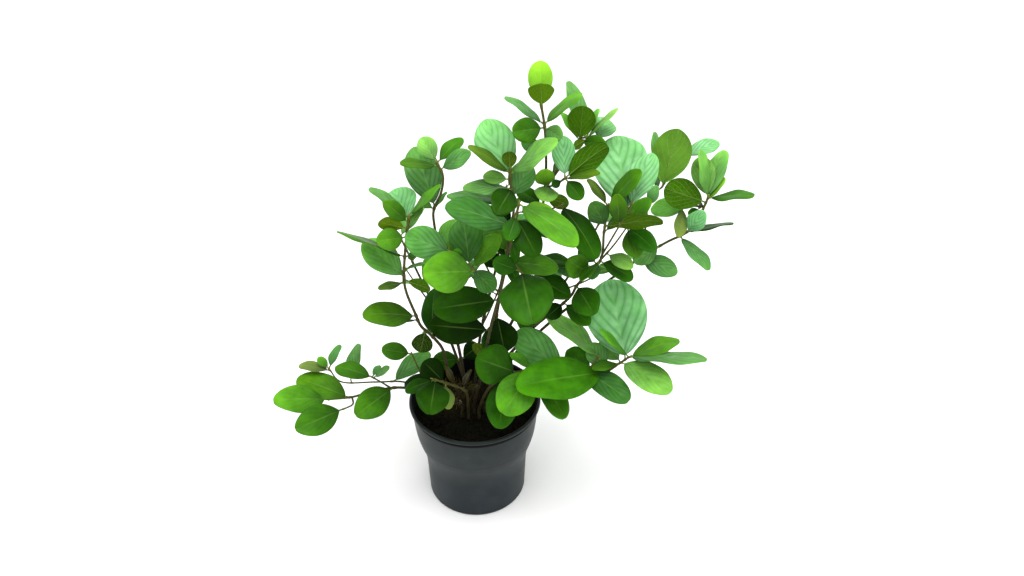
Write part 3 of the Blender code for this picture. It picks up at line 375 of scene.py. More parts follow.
# The stems behind, which the view doesn't reach: each has a foot and shoots through (x, y, z)
BACK_STEMS = {
    "stem_back_left": {
        "foot": (-9, 18),
        "main": [(-28, 50, 170), (-58, 78, 230), (-84, 92, 290)],
        "twigs": [[(-28, 50, 170), (-22, 78, 205), (-30, 104, 250)],
                  [(-44, 66, 204), (-66, 84, 226), (-82, 98, 244)]],
    },
    "stem_back": {
        "foot": (-1, 21),
        "main": [(6, 52, 185), (24, 84, 255), (34, 96, 320), (36, 96, 350)],
        "twigs": [[(8, 58, 195), (28, 96, 222), (34, 128, 262)],
                  [(20, 80, 240), (2, 104, 268), (-10, 112, 292)]],
    },
    "stem_back_right": {
        "foot": (17, 13),
        "main": [(52, 46, 170), (96, 78, 225), (126, 92, 275), (140, 96, 305)],
        "twigs": [[(52, 46, 170), (76, 84, 192), (90, 116, 222)],
                  [(96, 78, 225), (134, 84, 240), (164, 92, 262)]],
    },
}
PAIR_SPACING = 32.0
FIRST_PAIR = 0.34
PAIR_TURN = math.radians(90.0)
LEAF_TURN = 0.6
BACK_LENGTHS = (40.0, 60.0)
BACK_RATIOS = (0.52, 0.6)
BACK_ANGLE = math.radians(58.0)
BACK_SWING = 0.25
BACK_LIGHT = 0.8
HAIR = 0.001
LONGEST_PUSH = 90.0
SWING_PER_PUSH = 0.012
CLEAR_OF_BLADE = 3.0
HIDDEN_AT = ((0.25, 0.0), (0.5, 0.9), (0.5, -0.9), (0.75, 0.9), (0.75, -0.9), (0.98, 0.0))

# How finely a leaf is cut, by its length: the rows of points along it and those across it
LEAF_GRIDS = (
    (80.0, (0.0, 0.13, 0.38, 0.68, 0.91), (-1.0, 0.0, 1.0)),
    (59.0, (0.0, 0.17, 0.50, 0.86), (-1.0, 0.0, 1.0)),
    (42.0, (0.0, 0.22, 0.76), (-1.0, 0.0, 1.0)),
    (0.0, (0.24, 0.76), (-1.0, 1.0)),
)

Leaf = namedtuple("Leaf", "root chord side normal length width arch fold phase full")


def view_of(point):
    """The view coordinates of a point, with its distance along the view."""
    away = point - VIEW_FROM
    depth = away.dot(FORWARD)
    u = VIEW_CENTRE[0] + VIEW_FOCAL * away.dot(RIGHT) / depth
    v = VIEW_CENTRE[1] - VIEW_FOCAL * away.dot(UPWARD) / depth
    return u, v, depth


def sight_line(u, v):
    """The direction in which the view coordinates are seen."""
    across = (u - VIEW_CENTRE[0]) / VIEW_FOCAL
    down = (v - VIEW_CENTRE[1]) / VIEW_FOCAL
    return (FORWARD + RIGHT * across - UPWARD * down).normalized()


def place(u, v, y):
    """The point that is seen at (u, v) and lies y behind the pot's axis."""
    sight = sight_line(u, v)
    return VIEW_FROM + sight * ((y - VIEW_FROM.y) / sight.y)


def smooth_path(points, step):
    """Points a step apart along a smooth curve through the given ones."""
    ends = [points[0] * 2 - points[1]] + points + [points[-1] * 2 - points[-2]]
    path = []
    for before, start, end, after in zip(ends, ends[1:], ends[2:], ends[3:]):
        pieces = max(1, round((end - start).length / step))
        for k in range(pieces):
            t = k / pieces
            bend = (before * -1 + start * 3 - end * 3 + after) * t ** 3
            bend += (before * 2 - start * 5 + end * 4 - after) * t ** 2
            path.append((bend + (end - before) * t) * 0.5 + start)
    return path + [points[-1]]


def nearest_on(paths, u, v):
    """The point on the paths that is seen nearest to (u, v)."""
    best = None
    for path in paths:
        for start, end in zip(path, path[1:]):
            for k in range(9):
                point = start.lerp(end, k / 8)
                seen_u, seen_v, _ = view_of(point)
                miss = math.hypot(seen_u - u, seen_v - v)
                if best is None or miss < best[0]:
                    best = (miss, point)
    return best[1]


def main_path(foot, points):
    """A main shoot: straight up out of its hole in the soil, then through its points."""
    x, y = foot
    buried = Vector((x, y, SOIL_TOP - HOLE_DEPTH + CLEARANCE))
    rise = [Vector((x, y, SOIL_TOP + height)) for height in (STRAIGHT_FROM, STRAIGHT_TO)]
    return [buried] + smooth_path(rise + points, STEM_STEP)


def around(radius, sides, x=0.0, y=0.0):
    """The (x, y) places round a circle about an upright axis."""
    turns = [2 * math.pi * k / sides for k in range(sides)]
    return [(x + radius * math.cos(turn), y + radius * math.sin(turn)) for turn in turns]


def ring(centre, first, second, radius, sides):
    """Points round a circle, from its first direction on towards its second."""
    return [centre + (first * a + second * b) * radius for a, b in around(1.0, sides)]


def bands(rings, sides, start=0):
    """The faces between rings of points that follow one another."""
    faces = []
    for row in range(start, start + (rings - 1) * sides, sides):
        for k in range(sides):
            a, b = row + k, row + (k + 1) % sides
            faces.append((a, b, b + sides, a + sides))
    return faces


def caps(first, last, sides):
    """The flat ends of a tube whose end rings start at these points."""
    return [tuple(first + k for k in reversed(range(sides))), tuple(last + k for k in range(sides))]


def tube_mesh(path, start_radius, end_radius, sides):
    """A closed round tube along a path, as vertices and faces."""
    vertices = []
    normal = (path[1] - path[0]).orthogonal().normalized()
    for k, point in enumerate(path):
        tangent = (path[min(k + 1, len(path) - 1)] - path[max(k - 1, 0)]).normalized()
        normal = (normal - tangent * normal.dot(tangent)).normalized()
        radius = start_radius + (end_radius - start_radius) * k / (len(path) - 1)
        vertices += ring(point, normal, tangent.cross(normal), radius, sides)
    return vertices, bands(len(path), sides) + caps(0, len(vertices) - sides, sides)


def stalk_share(leaf):
    """How much of a leaf's length is its stalk."""
    return min(LONGEST_STALK, STALK_LENGTH / leaf.length)


def half_width(leaf, x):
    """Half the blade's width, from its base at 0 to its tip at 1."""
    if x <= 0.0:
        return STALK_WIDTH / 2
    bow = math.sin(math.pi * min(x, 1.0) ** TIPWARD)
    fullness = leaf.full - FULLER_TIP * x
    return max(leaf.width / 2 * max(bow, 0.0) ** fullness, STALK_WIDTH / 2 * (1 - x))


def leaf_point(leaf, s, t):
    """A point of the upper face: s runs from root to tip, t from edge to edge."""
    stalk = stalk_share(leaf)
    x = (s - stalk) / (1 - stalk)
    half = half_width(leaf, x)
    arch = leaf.arch * leaf.length * 4 * s * (1 - s)
    fold = leaf.fold * half * (abs(t) - FOLD_EASE * t * t - FOLD_SUNK)
    other_side = WAVE_SHIFT if t > 0 else 0.0
    wave = WAVE * half * t * t * math.sin(WAVES * x + leaf.phase + other_side)
    on_chord = leaf.root + leaf.chord * (s * leaf.length)
    return on_chord + leaf.side * (half * t) + leaf.normal * (arch + fold + wave)


def leaf_mesh(leaf, from_stalk=True, thicker=0.0):
    """The closed solid of a leaf: an upper and a lower face, triangulated alike, and an edge."""
    stalk = stalk_share(leaf)
    along, across = next(grid for least, *grid in LEAF_GRIDS if leaf.length >= least)
    rows = [(stalk + (1 - stalk) * x, across if x else (-1.0, 1.0)) for x in along]
    rows += [(1.0, (0.0,))]
    if from_stalk:
        rows = [(-ROOT_SUNK / leaf.length, (-1.0, 1.0))] + rows
    elif along[0] == 0.0:
        rows = rows[1:]
    upper, lower, index = [], [], []
    for s, across in rows:
        thick = (STALK_THICK if s <= stalk else BLADE) + thicker
        index.append([len(upper) + k for k in range(len(across))])
        for t in across:
            point = leaf_point(leaf, s, t)
            upper.append(point + leaf.normal * thicker * 0.5)
            lower.append(point + leaf.normal * (thicker * 0.5 - thick))
    count = len(upper)
    faces = []
    for near, far in zip(index, index[1:]):
        if len(far) == 1:
            faces += [(a, b, far[0]) for a, b in zip(near, near[1:])]
            continue
        faces += [(near[0], near[1], far[1]), (near[0], far[1], far[0])]
        if len(near) == 3:
            faces.append((near[1], near[2], far[1]))
        if len(far) == 3:
            faces.append((near[-1], far[2], far[1]))
    faces += [(a + count, c + count, b + count) for a, b, c in faces]
    left = [row[0] for row in index]
    right = [row[-1] for row in index]
    outline = index[0] + right[1:] + left[-2:0:-1]
    for a, b in zip(outline, outline[1:] + outline[:1]):
        faces += [(b, a, a + count), (b, a + count, b + count)]
    return upper + lower, faces


def aim_leaf(root, tip, length_seen, breadth, face, turn, number):
    """A leaf from root to tip, rolled so that it shows its face as broad as it is seen."""
    scale = view_of(root)[2] / VIEW_FOCAL
    chord = tip - root
    length = chord.length
    chord = chord.normalized()
    natural = max(breadth * scale, LEAF_RATIO * max(length_seen * scale, breadth * scale))
    width = max(natural, SLIMMEST_RATIO * length)
    to_view = VIEW_FROM - (root + tip) / 2
    facing = (to_view - chord * to_view.dot(chord)).normalized()
    open_to_view = min(1.0, breadth * scale / width)
    choices = []
    for tilt in (math.acos(open_to_view), -math.acos(open_to_view)):
        angle = tilt + turn
        choices.append(facing * (math.cos(angle) * face) + chord.cross(facing) * math.sin(angle))
    normal = max(choices, key=lambda n: n.z)
    arch, fold, phase, full = character(number)
    return Leaf(root, chord, normal.cross(chord), normal, length, width,
                arch * open_to_view, fold * open_to_view, phase, full)


def character(number):
    """The arch, fold, wave and fullness of a leaf, drawn from its number."""
    draw = random.Random(SHAPE_SEED + number)
    return [draw.uniform(*span) for span in (ARCH_SPAN, FOLD_SPAN, PHASE_SPAN, FULL_SPAN)]


def seen_leaf(paths, spec, push, turn, number):
    """A leaf from its places in the view, its tip pushed along the line of sight."""
    base_u, base_v, tip_u, tip_v, breadth, face, lean = spec
    root = nearest_on(paths, base_u, base_v)
    root_u, root_v, depth = view_of(root)
    seen = math.hypot(tip_u - root_u, tip_v - root_v)
    length = max(seen * LEAST_LEAN, breadth / BROADEST_RATIO) * (depth / VIEW_FOCAL)
    sight = sight_line(tip_u, tip_v)
    reach = (root - VIEW_FROM).dot(sight)
    miss = (root - VIEW_FROM - sight * reach).length
    half_chord = math.sqrt(max(length * length - miss * miss, 0.0))
    tip = VIEW_FROM + sight * (reach - lean * half_chord + push)
    return aim_leaf(root, tip, seen, breadth, face, turn, number)


def box_of(vertices):
    """The lowest and the highest corner round some vertices."""
    return [[f(v[k] for v in vertices) for k in range(3)] for f in (min, max)]


class Thicket:
    """What has grown so far: each blade and shoot, with the node that it belongs to."""

    def __init__(self):
        self.pieces = []

    def add(self, node, whole, blade):
        self.pieces.append((node, box_of(whole[0]), BVHTree.FromPolygons(*whole),
                            blade and BVHTree.FromPolygons(*blade)))

    def touches(self, node, whole, blade):
        """How many pieces a fattened leaf would cross, its stalk left out within its own node."""
        low, high = box_of(whole[0])
        trees = None
        crossed = 0
        for other, corners, tree, blade_tree in self.pieces:
            if any(low[k] > corners[1][k] or high[k] < corners[0][k] for k in range(3)):
                continue
            if trees is None:
                trees = BVHTree.FromPolygons(*whole), BVHTree.FromPolygons(*blade)
            if other == node:
                crossed += bool(trees[1].overlap(blade_tree or tree))
            else:
                crossed += bool(trees[0].overlap(tree))
        return crossed


# Tried in turn until a leaf is clear of the rest: its tip goes nearer or further along the line of
# sight, where the view doesn't show it, and the blade rolls a little about its own length
PUSHES = (0, -8, 8, -16, 16, -25, 25, -35, 35, -46, 46)
TURNS = tuple(math.radians(angle) for angle in (0, 14, -14, 28, -28))


def grow(thicket, node, make):
    """The first clear leaf that make(push, turn) gives, or the one that crosses least."""
    best = None
    for turn, push in product(TURNS, PUSHES):
        leaf = make(push, turn)
        if leaf is None:
            continue
        crossed = thicket.touches(node, leaf_mesh(leaf, True, MARGIN * 2),
                                  leaf_mesh(leaf, False, MARGIN * 2))
        if best is None or crossed < best[0]:
            best = (crossed, leaf)
        if crossed == 0:
            break
    if best:
        thicket.add(node, leaf_mesh(best[1]), leaf_mesh(best[1], False))
    return best


def shoots_of(stem, seen):
    """The paths of a stem's main shoot and its twigs, the main one first."""
    points = [place(*p) if seen else Vector(p) for p in stem["main"]]
    paths = [main_path(stem["foot"], points)]
    for twig in stem["twigs"]:
        points = [place(*p) if seen else Vector(p) for p in twig]
        u, v = twig[0][:2] if seen else view_of(points[0])[:2]
        points[0] = nearest_on(paths, u, v)
        paths.append(smooth_path(points, TWIG_STEP))
    return paths


def back_leaves(paths):
    """Pairs of leaves along the back shoots, each pair turned a quarter from the last."""
    leaves = []
    for path in paths:
        total = sum((b - a).length for a, b in zip(path, path[1:]))
        reach = total
        turn = LEAF_TURN * len(leaves)
        while reach > total * FIRST_PAIR:
            walked = 0.0
            for start, end in zip(path, path[1:]):
                span = (end - start).length
                if walked + span >= reach - HAIR:
                    break
                walked += span
            point = start.lerp(end, (reach - walked) / span)
            along = (end - start).normalized()
            across = along.orthogonal().normalized()
            for angle in (turn, turn + math.pi):
                out_way = across * math.cos(angle) + along.cross(across) * math.sin(angle)
                leaves.append((point, along, out_way))
            turn += PAIR_TURN
            reach -= PAIR_SPACING
    return leaves


def back_leaf(point, along, out_way, number, push, turn):
    """A leaf of the back, standing out from its shoot with its upper face to the light."""
    draw = random.Random(BACK_SEED + number)
    length = draw.uniform(*BACK_LENGTHS) * (1 - abs(push) / LONGEST_PUSH)
    angle = BACK_ANGLE + draw.uniform(-BACK_SWING, BACK_SWING) + push * SWING_PER_PUSH
    chord = (along * math.cos(angle) + out_way * math.sin(angle)).normalized()
    light = (along + UP * BACK_LIGHT).normalized()
    normal = (light - chord * light.dot(chord)).normalized()
    normal = normal * math.cos(turn) + normal.cross(chord) * math.sin(turn)
    return Leaf(point, chord, normal.cross(chord), normal, length,
                length * draw.uniform(*BACK_RATIOS), *character(number))


def hidden(leaf, front):
    """Whether the leaves in front hide this one from the view."""
    for s, t in HIDDEN_AT:
        point = leaf_point(leaf, s, t)
        toward = (VIEW_FROM - point).normalized()
        if front.ray_cast(point + toward * CLEAR_OF_BLADE, toward)[0] is None:
            return False
    return True


def joined(meshes):
    """Several meshes as one list of vertices and one of faces."""
    vertices, faces = [], []
    for points, polygons in meshes:
        faces += [tuple(k + len(vertices) for k in polygon) for polygon in polygons]
        vertices += points
    return vertices, faces


def shoot_mesh(path, is_main, thicker):
    """The plain tube of a shoot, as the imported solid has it, made thicker all round."""
    if is_main:
        return tube_mesh(path, STEM_RADIUS + thicker, SHOOT_TIP_RADIUS + thicker, STEM_SIDES)
    return tube_mesh(path, TWIG_RADIUS + thicker, TWIG_TIP_RADIUS + thicker, TWIG_SIDES)


def grow_shrub():
    """All shoots and leaves: {node: (paths, [(leaf, tone), ...])}."""
    thicket = Thicket()
    shrub = {}
    for node, stem in list(SHRUB.items()) + list(BACK_STEMS.items()):
        paths = shoots_of(stem, node in SHRUB)
        shrub[node] = (paths, [])
        for k, path in enumerate(paths):
            thicket.add(node, shoot_mesh(path, k == 0, MARGIN), None)
    number = 0
    for node, stem in SHRUB.items():
        for *spec, tone in stem["leaves"]:
            number += 1
            best = grow(thicket, node, lambda push, turn: seen_leaf(
                shrub[node][0], spec, push, turn, number))
            shrub[node][1].append((best[1], tone))
    front = BVHTree.FromPolygons(*joined([leaf_mesh(leaf) for _, leaves in shrub.values()
                                          for leaf, _ in leaves]))

    def make(push, turn):
        leaf = back_leaf(*spot, number, push, turn)
        return leaf if hidden(leaf, front) else None

    for node in BACK_STEMS:
        for spot in back_leaves(shrub[node][0]):
            number += 1
            best = grow(thicket, node, make)
            if best and best[0]:
                thicket.pieces.pop()
            elif best:
                shrub[node][1].append((best[1], BACK_TONES[number % len(BACK_TONES)]))
    return shrub


# Colours and nodes

def linear(code, share=1.0):
    """An sRGB hex colour as linear values, scaled by a share."""
    values = [int(code[k:k + 2], 16) / 255 for k in (1, 3, 5)]
    return [share * (v / 12.92 if v <= 0.04045 else ((v + 0.055) / 1.055) ** 2.4) for v in values]


def add(tree, kind, inputs=None, **settings):
    """Adds a node with its settings. Each input is a value or another node's output."""
    made = tree.nodes.new(kind)
    for name, value in settings.items():
        setattr(made, name, value)
    for name, value in (inputs or {}).items():
        if isinstance(value, bpy.types.NodeSocket):
            tree.links.new(value, made.inputs[name])
        else:
            made.inputs[name].default_value = value
    return made


def out(tree, kind, inputs=None, **settings):
    """Adds a node and gives its first output."""
    return add(tree, kind, inputs, **settings).outputs[0]


def calc(tree, operation, *values, **settings):
    """A sum on numbers or outputs."""
    inputs = dict(enumerate(values))
    return out(tree, "ShaderNodeMath", inputs, operation=operation, **settings)


def ranged(tree, value, low, high, first, last, kind="LINEAR"):
    """A value between low and high, moved to between first and last and held there."""
    inputs = {"Value": value, "From Min": low, "From Max": high, "To Min": first, "To Max": last}
    return out(tree, "ShaderNodeMapRange", inputs, interpolation_type=kind)


def on_vectors(tree, operation, *vectors, **others):
    """The outputs of an operation on vectors or colours, numbers or outputs."""
    inputs = {**dict(enumerate(vectors)), **others}
    return add(tree, "ShaderNodeVectorMath", inputs, operation=operation).outputs


def mixed(tree, share, first, second):
    """A blend of two colours, each an output or an sRGB code."""
    first, second = [(*linear(c), 1.0) if isinstance(c, str) else c for c in (first, second)]
    return add(tree, "ShaderNodeMix", {0: share, 6: first, 7: second}, data_type="RGBA").outputs[2]


def attribute(tree, name, socket="Fac"):
    """The mesh's own value of this name."""
    return add(tree, "ShaderNodeAttribute", attribute_name=name).outputs[socket]


def object_place(tree):
    """Where a point lies on the object, in metres."""
    return add(tree, "ShaderNodeTexCoord").outputs["Object"]


def speckle(tree, grain_mm, detail):
    """Soft noise with grains of so many millimetres."""
    inputs = {"Vector": object_place(tree), "Scale": 1 / (grain_mm * MM), "Detail": detail}
    return out(tree, "ShaderNodeTexNoise", inputs)


def new_material(name, roughness, specular=0.5, ior=1.45):
    """A material with one Principled shader, and the nodes it is built from."""
    material = bpy.data.materials.new(name)
    material.use_nodes = True
    tree = material.node_tree
    surface = tree.nodes["Principled BSDF"]
    surface.inputs["Roughness"].default_value = roughness
    surface.inputs["Specular IOR Level"].default_value = specular
    surface.inputs["IOR"].default_value = ior
    return material, tree, surface


def dress(tree, surface, colour, relief=None, strength=0.5, depth_mm=0.2, rough=None):
    """Gives the shader its colour, its relief and, where it varies, its roughness."""
    tree.links.new(colour, surface.inputs["Base Color"])
    if relief is not None:
        inputs = {"Strength": strength, "Distance": depth_mm * MM, "Height": relief}
        tree.links.new(out(tree, "ShaderNodeBump", inputs), surface.inputs["Normal"])
    if rough is not None:
        tree.links.new(rough, surface.inputs["Roughness"])


def new_tree(name, kind, given, made):
    """An empty node group with its named inputs and outputs, each of its own sort."""
    tree = bpy.data.node_groups.new(name, kind)
    for way, sockets in (("INPUT", given), ("OUTPUT", made)):
        for socket, sort in sockets.items():
            tree.interface.new_socket(socket, in_out=way, socket_type="NodeSocket" + sort)
    return tree


# The leaves' finish

# How a blade's veins run. Widths are shares of the way from vein to vein or from midrib to edge.
VEIN_PAIRS = 4.5
VEIN_SWEEP = 0.58
VEIN_CURVE = 0.14
VEIN_LINE = 0.11
VEIN_FADE = 0.70
RIB_LINE = (0.015, 0.06)
RIB_THIN = (0.55, 0.1)
PANEL_SHARE = 0.38
PANEL_LEAST = 0.42
SMOOTH = "SMOOTHSTEP"

# Light and dark over a leaf: at random in blotches, and painted shade at its base with painted light at
# its tip; a painted sunlit warmth where it is lightest
BLOTCH_MM = 15.0
MIDDLE_NOISE = (0.30, 0.70)
UPPER_LIGHT = (0.74, 1.22)
UNDER_LIGHT = (0.86, 1.14)
LIGHT_ALONG = (0.50, 1.26)
WARM_FROM, WARM_TO, MOST_WARM = 0.85, 1.35, 0.34
WARM_LIGHT = (1.34, 1.06, 0.62)

# The painted sheen's streaks, the veins that it leaves bare and darkens as painted shade, and the wax's
# roughness
VEIN_BARE = (0.62, 0.04)
VEIN_DARK = 0.55
RIB_PALE = 0.22
RIB_COVER = 0.40
STREAK_MM = 11.0
STREAK_NOISE = (0.38, 0.66)
STREAK_COVER = (0.55, 1.0)
PAINTED_SHEEN_COVER = 0.55
WAX_ROUGHNESS = (0.30, 0.42)
GRAIN_MM = 1.2
VEIN_SUNK = -0.6

# The underside's net of veins
NET_MM = 3.2
NET_LINE, NET_COVER = 0.14, 0.12
VEIN_RAISED = 0.30
RIB_RAISED = 0.50
UNDER_PALE = 0.30
STALK_PALE = 0.15


def vein_nodes():
    """Where a blade's veins run: shares of side vein, midrib and the panel between two veins."""
    names = ("Side vein", "Midrib", "Panel", "Along")
    tree = new_tree("veins of a blade", "ShaderNodeTree", {}, dict.fromkeys(names, "Float"))
    blade = out(tree, "ShaderNodeUVMap", uv_map="blade")
    parts = add(tree, "ShaderNodeSeparateXYZ", {0: blade}).outputs
    across = calc(tree, "ABSOLUTE", calc(tree, "MULTIPLY_ADD", parts["Y"], 2.0, -1.0))
    bend = calc(tree, "MULTIPLY_ADD", across, VEIN_CURVE, VEIN_SWEEP)
    start = calc(tree, "SUBTRACT", parts["X"], calc(tree, "MULTIPLY", across, bend))
    away = calc(tree, "PINGPONG", calc(tree, "MULTIPLY", start, VEIN_PAIRS), 0.5)
    line = ranged(tree, away, 0.0, VEIN_LINE, 1.0, 0.0, SMOOTH)
    fade = ranged(tree, across, VEIN_FADE, 1.0, 1.0, 0.0, SMOOTH)
    rib = ranged(tree, across, *RIB_LINE, 1.0, 0.0, SMOOTH)
    thin = ranged(tree, parts["X"], RIB_THIN[0], 1.0, 1.0, RIB_THIN[1])
    panel = ranged(tree, away, 0.0, PANEL_SHARE, PANEL_LEAST, 1.0, SMOOTH)
    add(tree, "NodeGroupOutput", {
        "Side vein": calc(tree, "MULTIPLY", line, fade), "Midrib": calc(tree, "MULTIPLY", rib, thin),
        "Panel": panel, "Along": parts["X"]})
    return tree


def leaf_finishes():
    """The upper face, which is waxed and glossy, the matt lower face, and the stalk with the midrib."""
    veins = vein_nodes()

    # The upper face: sunk veins darkened as painted shade, a paler midrib and a painted pale sheen on the
    # panels between them
    upper, tree, surface = new_material("waxed leaf face", 0.34, specular=0.15, ior=1.2)
    tone = attribute(tree, "tone", "Color")
    painted_sheen_and_stalk_share = attribute(tree, "painted_sheen_and_stalk_share")
    vein = add(tree, "ShaderNodeGroup", node_tree=veins).outputs
    blotch = speckle(tree, BLOTCH_MM, 3.0)
    light = ranged(tree, blotch, *MIDDLE_NOISE, *UPPER_LIGHT)
    # Painted shade towards the leaf's base and painted light towards its tip
    along = ranged(tree, vein["Along"], 0.0, 1.0, *LIGHT_ALONG)
    strength = calc(tree, "MULTIPLY", light, along)
    shaded = on_vectors(tree, "SCALE", tone, Scale=strength)[0]
    # A warm painted sunlit tint where the leaf is lightest
    warm = on_vectors(tree, "MULTIPLY", shaded, WARM_LIGHT)[0]
    warmth = ranged(tree, strength, WARM_FROM, WARM_TO, 0.0, MOST_WARM)
    mottled = mixed(tree, warmth, shaded, warm)
    # Side veins darkened: painted shade in the sunk veins, the more where the painted sheen is stronger
    bare = calc(tree, "MULTIPLY_ADD", painted_sheen_and_stalk_share, *VEIN_BARE)
    darker = on_vectors(tree, "SCALE", mottled, Scale=VEIN_DARK)[0]
    veined = mixed(tree, calc(tree, "MULTIPLY", vein["Side vein"], bare), mottled, darker)
    rib = calc(tree, "MULTIPLY", vein["Midrib"], RIB_COVER)
    lined = mixed(tree, rib, veined, mixed(tree, RIB_PALE, mottled, "#a8cf6a"))
    # Painted sheen: a pale colour for the white room's reflection, in streaks on the panels between the
    # veins, as much as the leaf's share of it
    streak = ranged(tree, speckle(tree, STREAK_MM, 2.0), *STREAK_NOISE, *STREAK_COVER)
    waxed = calc(tree, "MULTIPLY", vein["Panel"], streak)
    cover = calc(tree, "MULTIPLY", calc(tree, "MULTIPLY", waxed, painted_sheen_and_stalk_share), PAINTED_SHEEN_COVER)
    sheened = mixed(tree, cover, lined, "#aae3aa")
    wax = ranged(tree, blotch, *MIDDLE_NOISE, *WAX_ROUGHNESS)
    relief = calc(tree, "MULTIPLY_ADD", vein["Side vein"], VEIN_SUNK, speckle(tree, GRAIN_MM, 2.0))
    dress(tree, surface, sheened, relief, strength=0.25, rough=wax)

    # The lower face: matt and olive, with raised pale veins and a net between them
    under, tree, surface = new_material("matt leaf underside", 0.62, specular=0.1, ior=1.15)
    tone = attribute(tree, "tone", "Color")
    vein = add(tree, "ShaderNodeGroup", node_tree=veins).outputs
    light = ranged(tree, speckle(tree, BLOTCH_MM, 3.0), *MIDDLE_NOISE, *UNDER_LIGHT)
    mottled = on_vectors(tree, "SCALE", tone, Scale=light)[0]
    inputs = {"Vector": object_place(tree), "Scale": 1 / (NET_MM * MM)}
    net = out(tree, "ShaderNodeTexVoronoi", inputs, feature="DISTANCE_TO_EDGE")
    mesh_line = ranged(tree, net, 0.0, NET_LINE, NET_COVER, 0.0)
    raised = calc(tree, "MULTIPLY_ADD", vein["Side vein"], VEIN_RAISED, mesh_line)
    ridge = calc(tree, "MULTIPLY_ADD", vein["Midrib"], RIB_RAISED, raised, use_clamp=True)
    veined = mixed(tree, ridge, mottled, mixed(tree, UNDER_PALE, mottled, "#c2d888"))
    dress(tree, surface, veined, ridge, depth_mm=0.3)

    # The stalk and midrib: pale green, browner where it meets the shoot
    stalk, tree, surface = new_material("leaf stalk", 0.48, specular=0.2)
    tone = attribute(tree, "tone", "Color")
    away = attribute(tree, "painted_sheen_and_stalk_share")
    dress(tree, surface, mixed(tree, away, "#4c4a22", mixed(tree, STALK_PALE, tone, "#9cb45c")))
    return upper, under, stalk


# The leaves' fine shapes

LEAST_QUILT = 0.002
QUILT_WITH_SHEEN = 0.022
MOST_QUILT = 0.6
PANEL_SWELL = 1.2
QUILT_FROM, QUILT_SPAN = 0.06, 0.92
RIB_GROOVE = 0.40
GROOVE_WIDTH = 0.07
EDGE_ROLL = 0.07
ROLL_FROM = 0.72
TIP_DROP = 0.03
DROP_FROM = 0.55
LEAF_THICK = 0.62
EDGE_THICK = 0.34
ROWS_PER_MM = 0.62
LEAST_ROWS, MOST_ROWS = 14, 46
ROWS_TO_TIP = 1.4
COLUMNS = 14
LEAF_SMOOTH = 62.0

# The stalk, and the midrib that runs on from it under the blade
STALK_RADIUS = 0.85
STALK_TAPER = (1.12, 0.24)
STALK_RINGS = 5
STALK_SUNK = 0.25
RIB_RADIUS = STALK_RADIUS * 0.88
RIB_END_RADIUS = 0.25
RIB_RINGS = 15
RIB_REACH = 0.93
RIB_TAPER = 0.7
RIB_SIDES = 6
UPPER_FACE, LOWER_FACE, STALK_FACE = range(3)


def past(value, start):
    """How far a share lies past its start, squared."""
    return max(0.0, (value - start) / (1 - start)) ** 2


def relief_at(leaf, x, t, painted_sheen_and_stalk_share):
    """How far the fine surface stands above the plain blade: quilted, grooved, rolled and nodding."""
    side = abs(t)
    order = VEIN_PAIRS * (x - side * (VEIN_SWEEP + VEIN_CURVE * side))
    panel = abs(math.sin(math.pi * order)) ** PANEL_SWELL
    reach = (1 - side ** 4) * math.sin(math.pi * min(1.0, QUILT_FROM + QUILT_SPAN * x)) ** 0.5
    quilt = min(MOST_QUILT, (LEAST_QUILT + QUILT_WITH_SHEEN * painted_sheen_and_stalk_share) * leaf.width) * panel * reach
    groove = RIB_GROOVE * math.exp(-(side / GROOVE_WIDTH) ** 2) * (1 - x)
    roll = EDGE_ROLL * leaf.width / 2 * past(side, ROLL_FROM)
    nod = TIP_DROP * leaf.length * past(x, DROP_FROM)
    return quilt - groove - roll - nod


